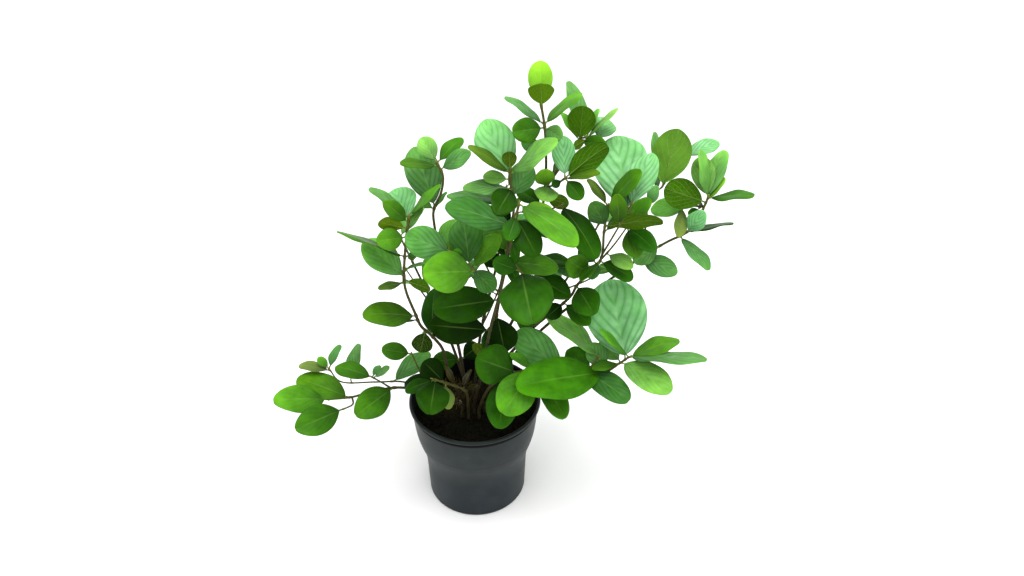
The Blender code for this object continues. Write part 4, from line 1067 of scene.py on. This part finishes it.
def fine_leaf(leaf, root, painted_sheen_and_stalk_share):
    """A leaf's points, faces, blade coordinates and finishes: blade, then stalk and midrib."""
    stalk = stalk_share(leaf)
    shift = root - leaf.root
    rows = int(min(MOST_ROWS, max(LEAST_ROWS, leaf.length * ROWS_PER_MM)))
    points, blade_at, faces = [], [], []

    def blade_point(x, t):
        s = stalk + (1 - stalk) * x
        return leaf_point(leaf, s, t) + leaf.normal * relief_at(leaf, x, t, painted_sheen_and_stalk_share)

    xs = [1 - (1 - k / rows) ** ROWS_TO_TIP for k in range(rows)]
    ts = [2 * j / COLUMNS - 1 for j in range(COLUMNS + 1)]
    width = len(ts)
    for below in (0, 1):
        for x, t in list(product(xs, ts)) + [(1.0, 0.0)]:
            thick = LEAF_THICK + (EDGE_THICK - LEAF_THICK) * (t * t if x < 1.0 else 1.0)
            points.append(blade_point(x, t) - leaf.normal * (thick * below))
            blade_at.append((x, (t + 1) / 2))
    layer = len(points) // 2
    tip = layer - 1
    for k, j in product(range(rows), range(COLUMNS)):
        a = k * width + j
        upper = (a, a + width, a + width + 1, a + 1) if k < rows - 1 else (a, tip, a + 1)
        faces += [upper, tuple(corner + layer for corner in (a, *upper[:0:-1]))]
    finishes = [UPPER_FACE, LOWER_FACE] * (len(faces) // 2)
    left = [k * width for k in range(rows)]
    right = [k * width + COLUMNS for k in range(rows)]
    outline = list(range(width)) + right[1:] + [tip] + left[:0:-1]
    for a, b in zip(outline, outline[1:] + outline[:1]):
        faces.append((a, b, b + layer, a + layer))
        finishes.append(UPPER_FACE)

    start = len(points)
    flush = []
    for k in range(STALK_RINGS + RIB_RINGS):
        if k < STALK_RINGS:
            share = k / STALK_RINGS
            centre = leaf_point(leaf, stalk * share, 0.0)
            centre += shift * (1 - share) ** 2 - leaf.normal * STALK_SUNK
            radius = STALK_RADIUS * (STALK_TAPER[0] - STALK_TAPER[1] * share)
        else:
            share = 1.0
            along = (k - STALK_RINGS) / (RIB_RINGS - 1)
            centre = blade_point(RIB_REACH * along, 0.0) - leaf.normal * LEAF_THICK
            radius = RIB_RADIUS + (RIB_END_RADIUS - RIB_RADIUS) * along ** RIB_TAPER
        points += ring(centre, leaf.side, leaf.normal, radius, RIB_SIDES)
        flush += [share] * RIB_SIDES
    blade_at += [(0.5, 0.5)] * len(flush)
    tube = bands(STALK_RINGS + RIB_RINGS, RIB_SIDES, start)
    tube += caps(start, len(points) - RIB_SIDES, RIB_SIDES)
    return points, faces + tube, blade_at, finishes + [STALK_FACE] * len(tube), start, flush


def new_object(name, data):
    """An object in the scene."""
    made = bpy.data.objects.new(name, data)
    bpy.context.scene.collection.objects.link(made)
    return made


def mesh_of(name, points, faces, edges=()):
    """A mesh from points in millimetres."""
    mesh = bpy.data.meshes.new(name)
    mesh.from_pydata([p * MM for p in points], edges, faces)
    return mesh


def evaluated_mesh(piece):
    """A plain mesh of a piece with its modifiers."""
    bpy.context.view_layer.update()
    graph = bpy.context.evaluated_depsgraph_get()
    return bpy.data.meshes.new_from_object(piece.evaluated_get(graph))


def smooth(mesh, degrees):
    """Shades a mesh smooth up to an angle between its faces."""
    mesh.shade_smooth()
    mesh.set_sharp_from_angle(angle=math.radians(degrees))


def piece_of(name, mesh, smooth_to=None):
    """An object of the mesh, its faces pointing out, smooth up to an angle."""
    tidy = bmesh.new()
    tidy.from_mesh(mesh)
    bmesh.ops.recalc_face_normals(tidy, faces=tidy.faces)
    tidy.to_mesh(mesh)
    tidy.free()
    if smooth_to is not None:
        smooth(mesh, smooth_to)
    return new_object(name, mesh)


def leaves_piece(name, leaves, roots, finishes_used, number):
    """One mesh of all the leaves of a node, each with its tone."""
    points, faces, blade_at, finishes, tones, painted_sheens_and_stalk_shares = [], [], [], [], [], []
    for (leaf, (upper, under, painted_sheen_and_stalk_share)), root in zip(leaves, roots):
        number += 1
        draw = random.Random(TONE_SEED + number)
        vary = [draw.uniform(*TONE_VARIES) * share
                for share in (draw.uniform(*RED_VARIES), 1.0, draw.uniform(*BLUE_VARIES))]
        top, bottom = [[c * v for c, v in zip(linear(code, TONE_SHARE), vary)] for code in (upper, under)]
        made, polygons, at, kinds, start, flush = fine_leaf(leaf, root, painted_sheen_and_stalk_share)
        layer = start // 2
        faces += [tuple(k + len(points) for k in polygon) for polygon in polygons]
        points += made
        blade_at += at
        finishes += kinds
        tones += [(*top, 1.0)] * layer + [(*bottom, 1.0)] * (len(made) - layer)
        # Blade points carry the leaf's painted sheen, the stalk's and midrib's points their share from
        # the shoot
        painted_sheens_and_stalk_shares += [painted_sheen_and_stalk_share] * start + flush
    mesh = mesh_of(name, points, faces)
    mesh.polygons.foreach_set("material_index", finishes)
    tone_of = mesh.color_attributes.new("tone", "FLOAT_COLOR", "POINT")
    tone_of.data.foreach_set("color", [c for tone in tones for c in tone])
    mesh.attributes.new("painted_sheen_and_stalk_share", "FLOAT", "POINT").data.foreach_set("value", painted_sheens_and_stalk_shares)
    blade = mesh.uv_layers.new(name="blade")
    corners = [0] * len(mesh.loops)
    mesh.loops.foreach_get("vertex_index", corners)
    blade.data.foreach_set("uv", [c for k in corners for c in blade_at[k]])
    for finish in finishes_used:
        mesh.materials.append(finish)
    return piece_of(name, mesh, LEAF_SMOOTH)


# The shoots

FINE_STEP = 3.0
NODE_SWELL = 0.35
NODE_REACH = 2.2
SHOOT_SIDES = 10
BUD_SIZE = 2.1
SIDE_BUD_SIZE = BUD_SIZE * 0.8
BUD_LIFT = 0.3
OLD_BARK_REACH = 0.45
TWIG_AGE = 0.6
SPECK_MM = 2.4
SPECK_NOISE = (0.30, 0.72)
BARK_LIGHT = (0.65, 1.35)
BUD_TAPER = (0.62, 0.16)
BUD_SCALE_MM = 1.1


def bark_finish():
    """Young bark: thin, smooth and brown, greener towards the shoot's tip, with fine corky specks."""
    bark, tree, surface = new_material("young shrub bark", 0.66, specular=0.2)
    age = attribute(tree, "age")
    speck = speckle(tree, SPECK_MM, 4.0)
    light = ranged(tree, speck, *SPECK_NOISE, *BARK_LIGHT)
    # Darker towards a main stem's base: old bark, and partly painted shade under the leaves about the
    # crown
    young = mixed(tree, age, "#50541f", "#261c11")
    dress(tree, surface, on_vectors(tree, "SCALE", young, Scale=light)[0], speck)
    return bark


def bud_finish():
    """Bud scales: dry, reddish brown and slightly downy."""
    bud, tree, surface = new_material("bud scales", 0.60)
    dress(tree, surface, mixed(tree, speckle(tree, BUD_SCALE_MM, 2.0), "#5f6a34", "#7d5a3a"))
    return bud


def shoot_tree():
    """Round shoots along the paths of a mesh's edges, and a bud at each loose point."""
    given = {"Geometry": "Geometry", "Sides": "Int", "Bark": "Material", "Bud scales": "Material"}
    tree = new_tree("shoots and buds", "GeometryNodeTree", given, {"Geometry": "Geometry"})
    given = add(tree, "NodeGroupInput").outputs

    def named(name, kind):
        return out(tree, "GeometryNodeInputNamedAttribute", {"Name": name}, data_type=kind)

    def finished(geometry, finish):
        inputs = {"Geometry": geometry, "Shade Smooth": True}
        shaded = out(tree, "GeometryNodeSetShadeSmooth", inputs)
        return out(tree, "GeometryNodeSetMaterial", {"Geometry": shaded, "Material": given[finish]})

    size = named("size", "FLOAT")
    curve = out(tree, "GeometryNodeMeshToCurve", {"Mesh": given["Geometry"]})
    sized = out(tree, "GeometryNodeSetCurveRadius", {"Curve": curve, "Radius": size})
    inputs = {"Resolution": given["Sides"], "Radius": 1.0}
    profile = out(tree, "GeometryNodeCurvePrimitiveCircle", inputs)
    inputs = {"Curve": sized, "Profile Curve": profile, "Fill Caps": True}
    swept = add(tree, "GeometryNodeCurveToMesh", inputs)
    if "Scale" in swept.inputs:
        tree.links.new(size, swept.inputs["Scale"])
    barked = finished(swept.outputs[0], "Bark")

    chosen = out(tree, "FunctionNodeCompare", {0: named("is_bud", "FLOAT"), 1: 0.5},
                 data_type="FLOAT", operation="GREATER_THAN")
    inputs = {"Mesh": given["Geometry"], "Selection": chosen, "Radius": 0.001}
    sites = out(tree, "GeometryNodeMeshToPoints", inputs)
    turn = out(tree, "FunctionNodeAlignRotationToVector", {"Vector": named("aim", "FLOAT_VECTOR")},
               axis="Z")
    ball = out(tree, "GeometryNodeMeshUVSphere", {"Segments": 8, "Rings": 6, "Radius": 1.0})
    axes = add(tree, "ShaderNodeSeparateXYZ", {0: out(tree, "GeometryNodeInputPosition")}).outputs
    taper = ranged(tree, axes["Z"], -1.0, 1.0, *BUD_TAPER)
    form = {"X": calc(tree, "MULTIPLY", axes["X"], taper),
            "Y": calc(tree, "MULTIPLY", axes["Y"], taper), "Z": calc(tree, "ADD", axes["Z"], 1.0)}
    inputs = {"Geometry": ball, "Position": out(tree, "ShaderNodeCombineXYZ", form)}
    bud = out(tree, "GeometryNodeSetPosition", inputs)
    inputs = {"Points": sites, "Instance": bud, "Rotation": turn, "Scale": size}
    placed = out(tree, "GeometryNodeInstanceOnPoints", inputs)
    real = out(tree, "GeometryNodeRealizeInstances", {"Geometry": placed})
    both = add(tree, "GeometryNodeJoinGeometry")
    for made in (barked, finished(real, "Bud scales")):
        tree.links.new(made, both.inputs[0])
    add(tree, "NodeGroupOutput", {"Geometry": both.outputs[0]})
    return tree


def grown_by(tree, piece, values):
    """Runs a Geometry Nodes tree on a piece with these named inputs, and keeps the plain mesh."""
    modifier = piece.modifiers.new("grown", "NODES")
    modifier.node_group = tree
    for socket in tree.interface.items_tree:
        if socket.in_out == "INPUT" and socket.name in values:
            modifier[socket.identifier] = values[socket.name]
    mesh = evaluated_mesh(piece)
    piece.modifiers.clear()
    piece.data = mesh
    return piece


def nearest_point(paths, point):
    """The point of the fine paths nearest to a place: its path's number and its own."""
    spots = [((here - point).length, i, k) for i, path in enumerate(paths) for k, here in enumerate(path)]
    return min(spots)[1:]


def wood_piece(node, fine, homes, tree, finishes):
    """The shoots of one node, swollen where leaves join, with buds at the joints and tips."""
    spots, edges = [], []
    for i, path in enumerate(fine):
        is_main = i == 0
        thick, thin = (STEM_RADIUS, SHOOT_TIP_RADIUS) if is_main else (TWIG_RADIUS, TWIG_TIP_RADIUS)
        joints = [path[k] for home, k in homes if home == i]
        for k, point in enumerate(path):
            share = k / (len(path) - 1)
            near = min([(point - joint).length for joint in joints], default=NODE_REACH)
            radius = thick + (thin - thick) * share
            radius *= 1 + NODE_SWELL * max(0.0, 1 - near / NODE_REACH)
            if k:
                edges.append((len(spots) - 1, len(spots)))
            age = (1 - share) ** OLD_BARK_REACH if is_main else TWIG_AGE * (1 - share)
            spots.append((point, radius * MM, age, 0.0, UP))
        buds = [(path[-1], (path[-1] - path[-2]).normalized(), BUD_SIZE)]
        for home, k in homes:
            if home == i and 0 < k < len(path) - 1:
                along = (path[k + 1] - path[k - 1]).normalized()
                way = (along + UP * BUD_LIFT).normalized()
                buds.append((path[k] + along * thin, way, SIDE_BUD_SIZE))
        spots += [(point, size * MM, 0.0, 1.0, way) for point, way, size in buds]
    points, sizes, ages, is_bud, aims = zip(*spots)
    mesh = mesh_of(node + "_wood", points, [], edges)
    for name, values in (("size", sizes), ("age", ages), ("is_bud", is_bud)):
        mesh.attributes.new(name, "FLOAT", "POINT").data.foreach_set("value", values)
    aim = mesh.attributes.new("aim", "FLOAT_VECTOR", "POINT")
    aim.data.foreach_set("vector", [c for way in aims for c in way])
    bark, bud = finishes
    values = {"Sides": SHOOT_SIDES, "Bark": bark, "Bud scales": bud}
    return grown_by(tree, new_object(node + "_wood", mesh), values)


# The pot

UNDER_LIP = POT_HEIGHT - LIP_HEIGHT

# The heights at which the outer wall changes its slope, with its radius there
WALL_LINE = ((0.0, BASE_RADIUS), (SHOULDER_BOTTOM, BODY_TOP_RADIUS), (COLLAR_BOTTOM, COLLAR_RADIUS),
             (POT_HEIGHT, COLLAR_TOP_RADIUS))

# How finely corners are rounded, the least that is rounded, and the most of an edge that it takes
CORNER_STEPS = 8
LEAST_CORNER = 0.05
MOST_EASE = 0.49

DRILL_REACH = 6.0
DRILL_SIDES = 28
POT_SMOOTH = 50.0

# The plastic's scuffs, their dust, its satin sheen and its fine peel
SCUFF_MM = 26.0
DUST_NOISE, MOST_DUST = (0.45, 0.80), 0.08
SATIN_ROUGHNESS = (0.40, 0.50)
PEEL_MM = 0.9

# The dark line of painted shade in the undercut below the lip: where it begins, where it is full
# and where it ends, from the lip's underside
UNDERCUT_SHADE_FROM, UNDERCUT_SHADE_FULL, UNDERCUT_SHADE_END = -6.0, -4.8, 0.2


def inner_radius(height):
    """The radius of the pot's inner wall at a height."""
    for (low, narrow), (high, wide) in zip(WALL_LINE, WALL_LINE[1:]):
        if height < high:
            break
    return narrow + (wide - narrow) * ((height - low) / (high - low)) - WALL


def pot_finish():
    """Moulded polypropylene, coloured through: satin, lighter towards the foot as painted light, with
    painted shade inside and under the lip.
    """
    plastic, tree, surface = new_material("moulded polypropylene", 0.42, specular=0.18, ior=1.49)
    place_of = object_place(tree)
    height = add(tree, "ShaderNodeSeparateXYZ", {0: place_of}).outputs["Z"]
    marks = speckle(tree, SCUFF_MM, 5.0)
    # Lighter and bluer towards the foot: painted light on the coloured-through plastic
    tint = mixed(tree, ranged(tree, height, 0.0, POT_HEIGHT * MM, 1.0, 0.0), "#0f1817", "#121c21")
    dusty = mixed(tree, ranged(tree, marks, *DUST_NOISE, 0.0, MOST_DUST), tint, "#6c7478")
    from_lip, full, end = [(UNDER_LIP + way) * MM for way in (UNDERCUT_SHADE_FROM, UNDERCUT_SHADE_FULL, UNDERCUT_SHADE_END)]
    # The painted shade in the lip's undercut
    line = calc(tree, "MULTIPLY", ranged(tree, height, from_lip, full, 0.0, 1.0),
                calc(tree, "LESS_THAN", height, end))
    # Near-black painted shade on the pot's inside above the collar's bottom
    across = on_vectors(tree, "MULTIPLY", place_of, (1.0, 1.0, 0.0))[0]
    radius = on_vectors(tree, "LENGTH", across)["Value"]
    wall = [(outer - WALL / 2) * MM for outer in (COLLAR_RADIUS, COLLAR_TOP_RADIUS)]
    within = calc(tree, "LESS_THAN", radius,
                  ranged(tree, height, COLLAR_BOTTOM * MM, POT_HEIGHT * MM, *wall))
    inside = calc(tree, "MULTIPLY", within, calc(tree, "GREATER_THAN", height, COLLAR_BOTTOM * MM))
    painted_shade_mask = calc(tree, "MAXIMUM", line, inside)
    satin = ranged(tree, marks, *MIDDLE_NOISE, *SATIN_ROUGHNESS)
    # The near-black colour is painted shade inside the pot and under the lip, and those places are made
    # matt
    dress(tree, surface, mixed(tree, painted_shade_mask, dusty, "#030604"), speckle(tree, PEEL_MM, 1.0),
          strength=0.25, depth_mm=0.05, rough=calc(tree, "MAXIMUM", satin, painted_shade_mask))
    return plastic


def rounded(profile):
    """A profile of (radius, height, softness) corners with each corner eased over its softness."""
    places = [Vector((r, h)) for r, h, _ in profile]
    line = [places[0]]
    for before, corner, after, (_, _, soft) in zip(places, places[1:], places[2:], profile[1:]):
        into, leaving = corner - before, after - corner
        ease = min(soft, into.length * MOST_EASE, leaving.length * MOST_EASE)
        if ease < LEAST_CORNER:
            line.append(corner)
            continue
        start = corner - into.normalized() * ease
        end = corner + leaving.normalized() * ease
        for i in range(CORNER_STEPS + 1):
            t = i / CORNER_STEPS
            line.append(start * (1 - t) ** 2 + corner * (2 * t * (1 - t)) + end * t ** 2)
    return line + [places[-1]]


def make_pot(finish):
    """The pot's fine shell: footed base, tapered body, soft shoulder, collar, undercut and rolled lip."""
    # Each corner's radius, height and softness, up the outside and down the inside
    lip = RIM_RADIUS
    line = rounded([
        (BASE_RADIUS - 4.0, 0.0, 0.0),
        (BASE_RADIUS - 1.2, 0.0, 0.8),
        (BASE_RADIUS - 0.1, 1.6, 1.2),
        (BODY_TOP_RADIUS, SHOULDER_BOTTOM, 16.0),
        (COLLAR_RADIUS, COLLAR_BOTTOM, 14.0),
        (COLLAR_TOP_RADIUS - 0.3, UNDER_LIP - 1.4, 0.8),
        (COLLAR_TOP_RADIUS - 1.0, UNDER_LIP - 0.5, 0.5),
        (COLLAR_TOP_RADIUS - 1.0, UNDER_LIP + 0.1, 0.3),
        (lip - 0.6, UNDER_LIP + 0.2, 0.7),
        (lip, UNDER_LIP + 1.5, 1.0),
        (lip - 0.2, POT_HEIGHT - 1.1, 0.9),
        (lip - 1.2, POT_HEIGHT - 0.1, 0.8),
        (lip - 2.4, POT_HEIGHT, 0.6),
        (lip - 3.4, POT_HEIGHT - 0.7, 0.6),
        (inner_radius(UNDER_LIP - 1.0), UNDER_LIP - 2.0, 1.0),
        (inner_radius(COLLAR_BOTTOM), COLLAR_BOTTOM, 12.0),
        (inner_radius(SHOULDER_BOTTOM), SHOULDER_BOTTOM, 12.0),
        (inner_radius(WALL), WALL, 0.0),
    ])
    points = [Vector((x, y, height)) for radius, height in line for x, y in around(radius, POT_SIDES)]
    faces = bands(len(line), POT_SIDES) + caps(0, len(points) - POT_SIDES, POT_SIDES)
    pot = piece_of("pot_shell", mesh_of("pot_shell", points, faces))
    drills = bpy.data.collections.new("drain drills")
    bpy.context.scene.collection.children.link(drills)
    for x, y in around(DRAIN_CIRCLE, 2 * DRAIN_HOLES)[1::2]:
        mesh = bpy.data.meshes.new("drill")
        drill = bmesh.new()
        bmesh.ops.create_cone(
            drill, cap_ends=True, segments=DRILL_SIDES, radius1=DRAIN_RADIUS * MM,
            radius2=DRAIN_RADIUS * MM, depth=(WALL + DRILL_REACH) * MM,
            matrix=Matrix.Translation(Vector((x, y, 0.0)) * MM))
        drill.to_mesh(mesh)
        drill.free()
        drills.objects.link(bpy.data.objects.new("drill", mesh))
    cut = pot.modifiers.new("drain holes", "BOOLEAN")
    cut.operation = "DIFFERENCE"
    cut.operand_type = "COLLECTION"
    cut.collection = drills
    pot.data = evaluated_mesh(pot)
    pot.modifiers.clear()
    for drill in list(drills.objects):
        bpy.data.objects.remove(drill)
    bpy.data.collections.remove(drills)
    pot.data.materials.clear()
    pot.data.materials.append(finish)
    smooth(pot.data, POT_SMOOTH)
    return pot


# The soil

SOIL_RINGS = 40
SOIL_SPOKES = 132
SOIL_SMOOTH = 60.0

# The top's long swells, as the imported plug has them: how quick each is and where it starts. The
# clods lie on them. The noise of clods and burst perlite has so much roughness, each step so much
# finer than the last, and so many steps.
SWELL_X = (0.11, 1.0)
SWELL_Y = (0.13, 0.4)
CLOD_MM = 7.0
CLOD_HEIGHT = 0.75
FRACTAL = (0.8, 2.0, 4)

# How far the plug draws in from the wall at the shoulder and at the collar
DRAWN_IN = ((SHOULDER_BOTTOM, 1.2), (COLLAR_BOTTOM, 0.8))

# Where the stems rise from the soil, how far about them dead twigs lie, and how far about them it is
# browner
CROWN = Vector((-24.0, 24.0, SOIL_TOP))
LITTER_REACH = 24.0
BROWNER_TO, DARKER_FROM = 14.0, 42.0

# The crumbs of perlite on the soil: where each lies and its radius
PERLITE = ((-17.3, 11.5, 2.3), (-13.6, 14.0, 1.4), (38.0, 41.0, 1.2), (-47.0, -6.0, 0.9))
PERLITE_LUMPS = 0.35
PERLITE_GRAIN = 1.6
PERLITE_RISE = 0.9
PERLITE_FINENESS = 4
PIT_MM = 0.7
BIT_MM = 3.0
STREAKED_MM = 4.0

# A crumb's own lumps, and how flat it is
LUMP_SCALE = 1.3
LUMP_SWELL = (0.55, 1.25)
CRUMB_FLAT = 0.7
FULL_TURN = (6.28, 6.28, 6.28)

# The round of soil that crumbs are strewn on
OFF_THE_WALL = 3.0
TOP_RINGS, TOP_SPOKES = 16, 48


def soil_finish():
    """Moist peat and bark compost: near black towards the wall, browner about the stems."""
    soil, tree, surface = new_material("moist potting compost", 0.88, specular=0.10)
    bits = speckle(tree, BIT_MM, 5.0)
    away = on_vectors(tree, "DISTANCE", object_place(tree), tuple(CROWN * MM))["Value"]
    browner_share = ranged(tree, away, BROWNER_TO * MM, DARKER_FROM * MM, 1.0, 0.0)
    near_wall, about_stems = mixed(tree, bits, "#050602", "#141208"), mixed(tree, bits, "#0e0d06", "#38301a")
    dress(tree, surface, mixed(tree, browner_share, near_wall, about_stems), bits, strength=0.9, depth_mm=0.8)
    return soil


def litter_finish():
    """Dead twigs and rolled dry leaves: dark brown, matt, streaked along."""
    litter, tree, surface = new_material("dead twigs and dry leaf", 0.8, specular=0.15)
    dress(tree, surface, mixed(tree, speckle(tree, STREAKED_MM, 3.0), "#2a2210", "#6e5e36"))
    return litter


def perlite_finish():
    """Expanded perlite: off-white, chalky, with fine pits."""
    perlite, tree, surface = new_material("perlite crumb", 0.85)
    pits = speckle(tree, PIT_MM, 2.0)
    dress(tree, surface, mixed(tree, pits, "#a49c88", "#e6e0d0"), pits, strength=0.6)
    return perlite


def soil_height(x, y):
    """The height of the soil's top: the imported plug's, with clods on it."""
    swell = math.sin(x * SWELL_X[0] + SWELL_X[1]) * math.cos(y * SWELL_Y[0] + SWELL_Y[1])
    clods = noise.fractal(Vector((x, y, 0.0)) / CLOD_MM, *FRACTAL)
    return SOIL_TOP + SOIL_UNEVEN * swell + CLOD_HEIGHT * clods


def soil_mesh():
    """The soil's plug, finely uneven on top, as a closed mesh."""
    outer = inner_radius(SOIL_TOP) - CLEARANCE
    wall = [(inner_radius(WALL) - CLEARANCE, WALL + CLEARANCE)]
    wall += [(inner_radius(height) - CLEARANCE - inwards, height) for height, inwards in DRAWN_IN]
    points = [Vector((x, y, height)) for radius, height in wall for x, y in around(radius, SOIL_SPOKES)]
    for row in range(SOIL_RINGS, 0, -1):
        for x, y in around(outer * row / SOIL_RINGS, SOIL_SPOKES):
            points.append(Vector((x, y, soil_height(x, y))))
    faces = bands(len(wall) + SOIL_RINGS, SOIL_SPOKES)
    middle = len(points)
    last = middle - SOIL_SPOKES
    points.append(Vector((0.0, 0.0, soil_height(0.0, 0.0))))
    faces += [(last + k, last + (k + 1) % SOIL_SPOKES, middle) for k in range(SOIL_SPOKES)]
    faces.append(tuple(reversed(range(SOIL_SPOKES))))
    return mesh_of("soil_plug", points, faces)


def crumb_tree():
    """Crumbs strewn on a surface: rounded bits of a size range, turned and stretched at random."""
    given = {"Geometry": "Geometry"}
    given.update(dict.fromkeys(("Per square metre", "Smallest", "Largest", "Stretch"), "Float"))
    given.update({"Seed": "Int", "Fineness": "Int", "Finish": "Material"})
    tree = new_tree("crumbs on a surface", "GeometryNodeTree", given, {"Geometry": "Geometry"})
    given = add(tree, "NodeGroupInput").outputs
    inputs = {"Mesh": given["Geometry"], "Density": given["Per square metre"], "Seed": given["Seed"]}
    strewn = out(tree, "GeometryNodeDistributePointsOnFaces", inputs)
    inputs = {"Radius": 1.0, "Subdivisions": given["Fineness"]}
    ball = out(tree, "GeometryNodeMeshIcoSphere", inputs)
    lump = out(tree, "ShaderNodeTexNoise", {"Scale": LUMP_SCALE, "Detail": 1.0})
    swell = ranged(tree, lump, *MIDDLE_NOISE, *LUMP_SWELL)
    where = out(tree, "GeometryNodeInputPosition")
    lumpy = on_vectors(tree, "SCALE", where, Scale=swell)[0]
    crumb = out(tree, "GeometryNodeSetPosition", {"Geometry": ball, "Position": lumpy})
    inputs = {2: given["Smallest"], 3: given["Largest"], "Seed": 7}
    size = add(tree, "FunctionNodeRandomValue", inputs, data_type="FLOAT").outputs[1]
    form = out(tree, "ShaderNodeCombineXYZ", {
        "X": calc(tree, "MULTIPLY", size, given["Stretch"]), "Y": size,
        "Z": calc(tree, "MULTIPLY", size, CRUMB_FLAT)})
    inputs = {0: (0.0, 0.0, 0.0), 1: FULL_TURN, "Seed": 9}
    turn = out(tree, "FunctionNodeRandomValue", inputs, data_type="FLOAT_VECTOR")
    inputs = {"Points": strewn, "Instance": crumb, "Rotation": turn, "Scale": form}
    placed = out(tree, "GeometryNodeInstanceOnPoints", inputs)
    real = out(tree, "GeometryNodeRealizeInstances", {"Geometry": placed})
    inputs = {"Geometry": real, "Material": given["Finish"]}
    add(tree, "NodeGroupOutput", {"Geometry": out(tree, "GeometryNodeSetMaterial", inputs)})
    return tree


def top_surface(name, middle, reach, lift):
    """A round of the soil's open top, as the ground that crumbs and twigs are strewn on."""
    points = []
    for row in range(TOP_RINGS + 1):
        for x, y in around(reach * row / TOP_RINGS, TOP_SPOKES, middle.x, middle.y):
            points.append(Vector((x, y, soil_height(x, y) + lift)))
    faces = [(a, d, c, b) for a, b, c, d in bands(TOP_RINGS + 1, TOP_SPOKES)]
    return new_object(name, mesh_of(name, points, faces))


def make_perlite(finish):
    """Burst, pitted crumbs, each lying on the soil."""
    crumbs = bmesh.new()
    for x, y, radius in PERLITE:
        made = bmesh.ops.create_icosphere(crumbs, subdivisions=PERLITE_FINENESS, radius=1.0)
        for vert in made["verts"]:
            burst = noise.fractal(vert.co * PERLITE_GRAIN + Vector((x, y, 0.0)), *FRACTAL)
            lump = vert.co * (1.0 + PERLITE_LUMPS * burst) * radius
            vert.co = (Vector((x, y, soil_height(x, y) + radius * PERLITE_RISE)) + lump) * MM
    mesh = bpy.data.meshes.new("perlite")
    crumbs.to_mesh(mesh)
    crumbs.free()
    perlite = piece_of("perlite", mesh, SOIL_SMOOTH)
    perlite.data.materials.append(finish)
    return perlite


# The room and the view. Each light has a name, a side in metres, watts and a place in metres.
LIGHTS = (("overhead softbox", 1.1, 24.0, (0.20, -0.15, 1.7)),
          ("front softbox", 1.0, 5.0, (0.35, -1.5, 1.2)))
LIT_AT = Vector((0.03, 0.0, 0.25))
ROOM_LIGHT = 1.15
FLOOR_REACH = 8000.0
FLOOR_DROP = -0.3
FLOOR_WHITE = (0.90, 0.90, 0.90, 1.0)


def make_floor():
    """A plain white surface."""
    corners = ((-1, -1), (1, -1), (1, 1), (-1, 1))
    points = [Vector((x * FLOOR_REACH, y * FLOOR_REACH, FLOOR_DROP)) for x, y in corners]
    floor = new_object("floor", mesh_of("floor", points, [(0, 1, 2, 3)]))
    white, _, surface = new_material("white paper sweep", 0.9, specular=0.0)
    surface.inputs["Base Color"].default_value = FLOOR_WHITE
    floor.data.materials.append(white)


def make_lights():
    """A white room, a broad soft light overhead and a weaker one in front."""
    world = bpy.data.worlds.new("white room")
    bpy.context.scene.world = world
    world.use_nodes = True
    sky = world.node_tree.nodes["Background"]
    sky.inputs["Color"].default_value = (1.0, 1.0, 1.0, 1.0)
    sky.inputs["Strength"].default_value = ROOM_LIGHT
    for name, size, watts, place_m in LIGHTS:
        lamp = bpy.data.lights.new(name, "AREA")
        lamp.shape = "SQUARE"
        lamp.size = size
        lamp.energy = watts
        holder = new_object(name, lamp)
        holder.location = place_m
        holder.rotation_euler = (LIT_AT - Vector(place_m)).to_track_quat("-Z", "Y").to_euler()


def make_camera():
    """The camera at the point of view that the shrub's places are read from."""
    lens = bpy.data.cameras.new("camera")
    lens.sensor_width = 36.0
    lens.lens = VIEW_FOCAL / VIEW_WIDTH * lens.sensor_width
    camera = new_object("camera", lens)
    camera.location = VIEW_FROM * MM
    camera.rotation_euler = (math.pi / 2 - VIEW_PITCH, 0.0, 0.0)
    bpy.context.scene.camera = camera


def main():
    make_camera()
    make_floor()
    make_lights()
    bpy.context.scene.view_settings.view_transform = "Standard"

    pot = make_pot(pot_finish())
    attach(pot, "root")
    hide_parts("pot")

    soil = soil_finish()
    plug = piece_of("soil_plug", soil_mesh(), SOIL_SMOOTH)
    plug.data.materials.append(soil)
    crumbs = crumb_tree()
    middle, reach = Vector((0.0, 0.0, SOIL_TOP)), inner_radius(SOIL_TOP) - OFF_THE_WALL
    # What is strewn: its middle, reach and lift, how many a square metre, the least and most radius
    # in mm, its stretch, seed and fineness, and its finish
    strewn = (("soil_crumbs", middle, reach, 0.1, 260000.0, 0.35, 1.1, 1.5, 3, 1, soil),
              ("soil_lumps", middle, reach, 0.1, 26000.0, 1.2, 2.4, 1.3, 5, 2, soil),
              ("dead_twigs", CROWN, LITTER_REACH, 3.5, 60000.0, 0.45, 0.9, 13.0, 4, 2, litter_finish()))
    ground = [plug, make_perlite(perlite_finish())]
    for name, centre, radius, lift, density, least, most, stretch, seed, fineness, finish in strewn:
        ground.append(grown_by(crumbs, top_surface(name, centre, radius, lift), {
            "Per square metre": density, "Smallest": least * MM, "Largest": most * MM,
            "Stretch": stretch, "Seed": seed, "Fineness": fineness, "Finish": finish}))
    for piece in ground:
        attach(piece, "root")
        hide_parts("soil")

    leaf_surfaces = leaf_finishes()
    wood = bark_finish(), bud_finish()
    shoots = shoot_tree()
    number = 0
    for node, (paths, leaves) in grow_shrub().items():
        fine = [smooth_path(path, FINE_STEP) for path in paths]
        homes = [nearest_point(fine, leaf.root) for leaf, _ in leaves]
        roots = [fine[i][k] for i, k in homes]
        blades = leaves_piece(node + "_leaves", leaves, roots, leaf_surfaces, number)
        number += len(leaves)
        for piece in (blades, wood_piece(node, fine, homes, shoots, wood)):
            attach(piece, "root")
            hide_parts(node)


main()
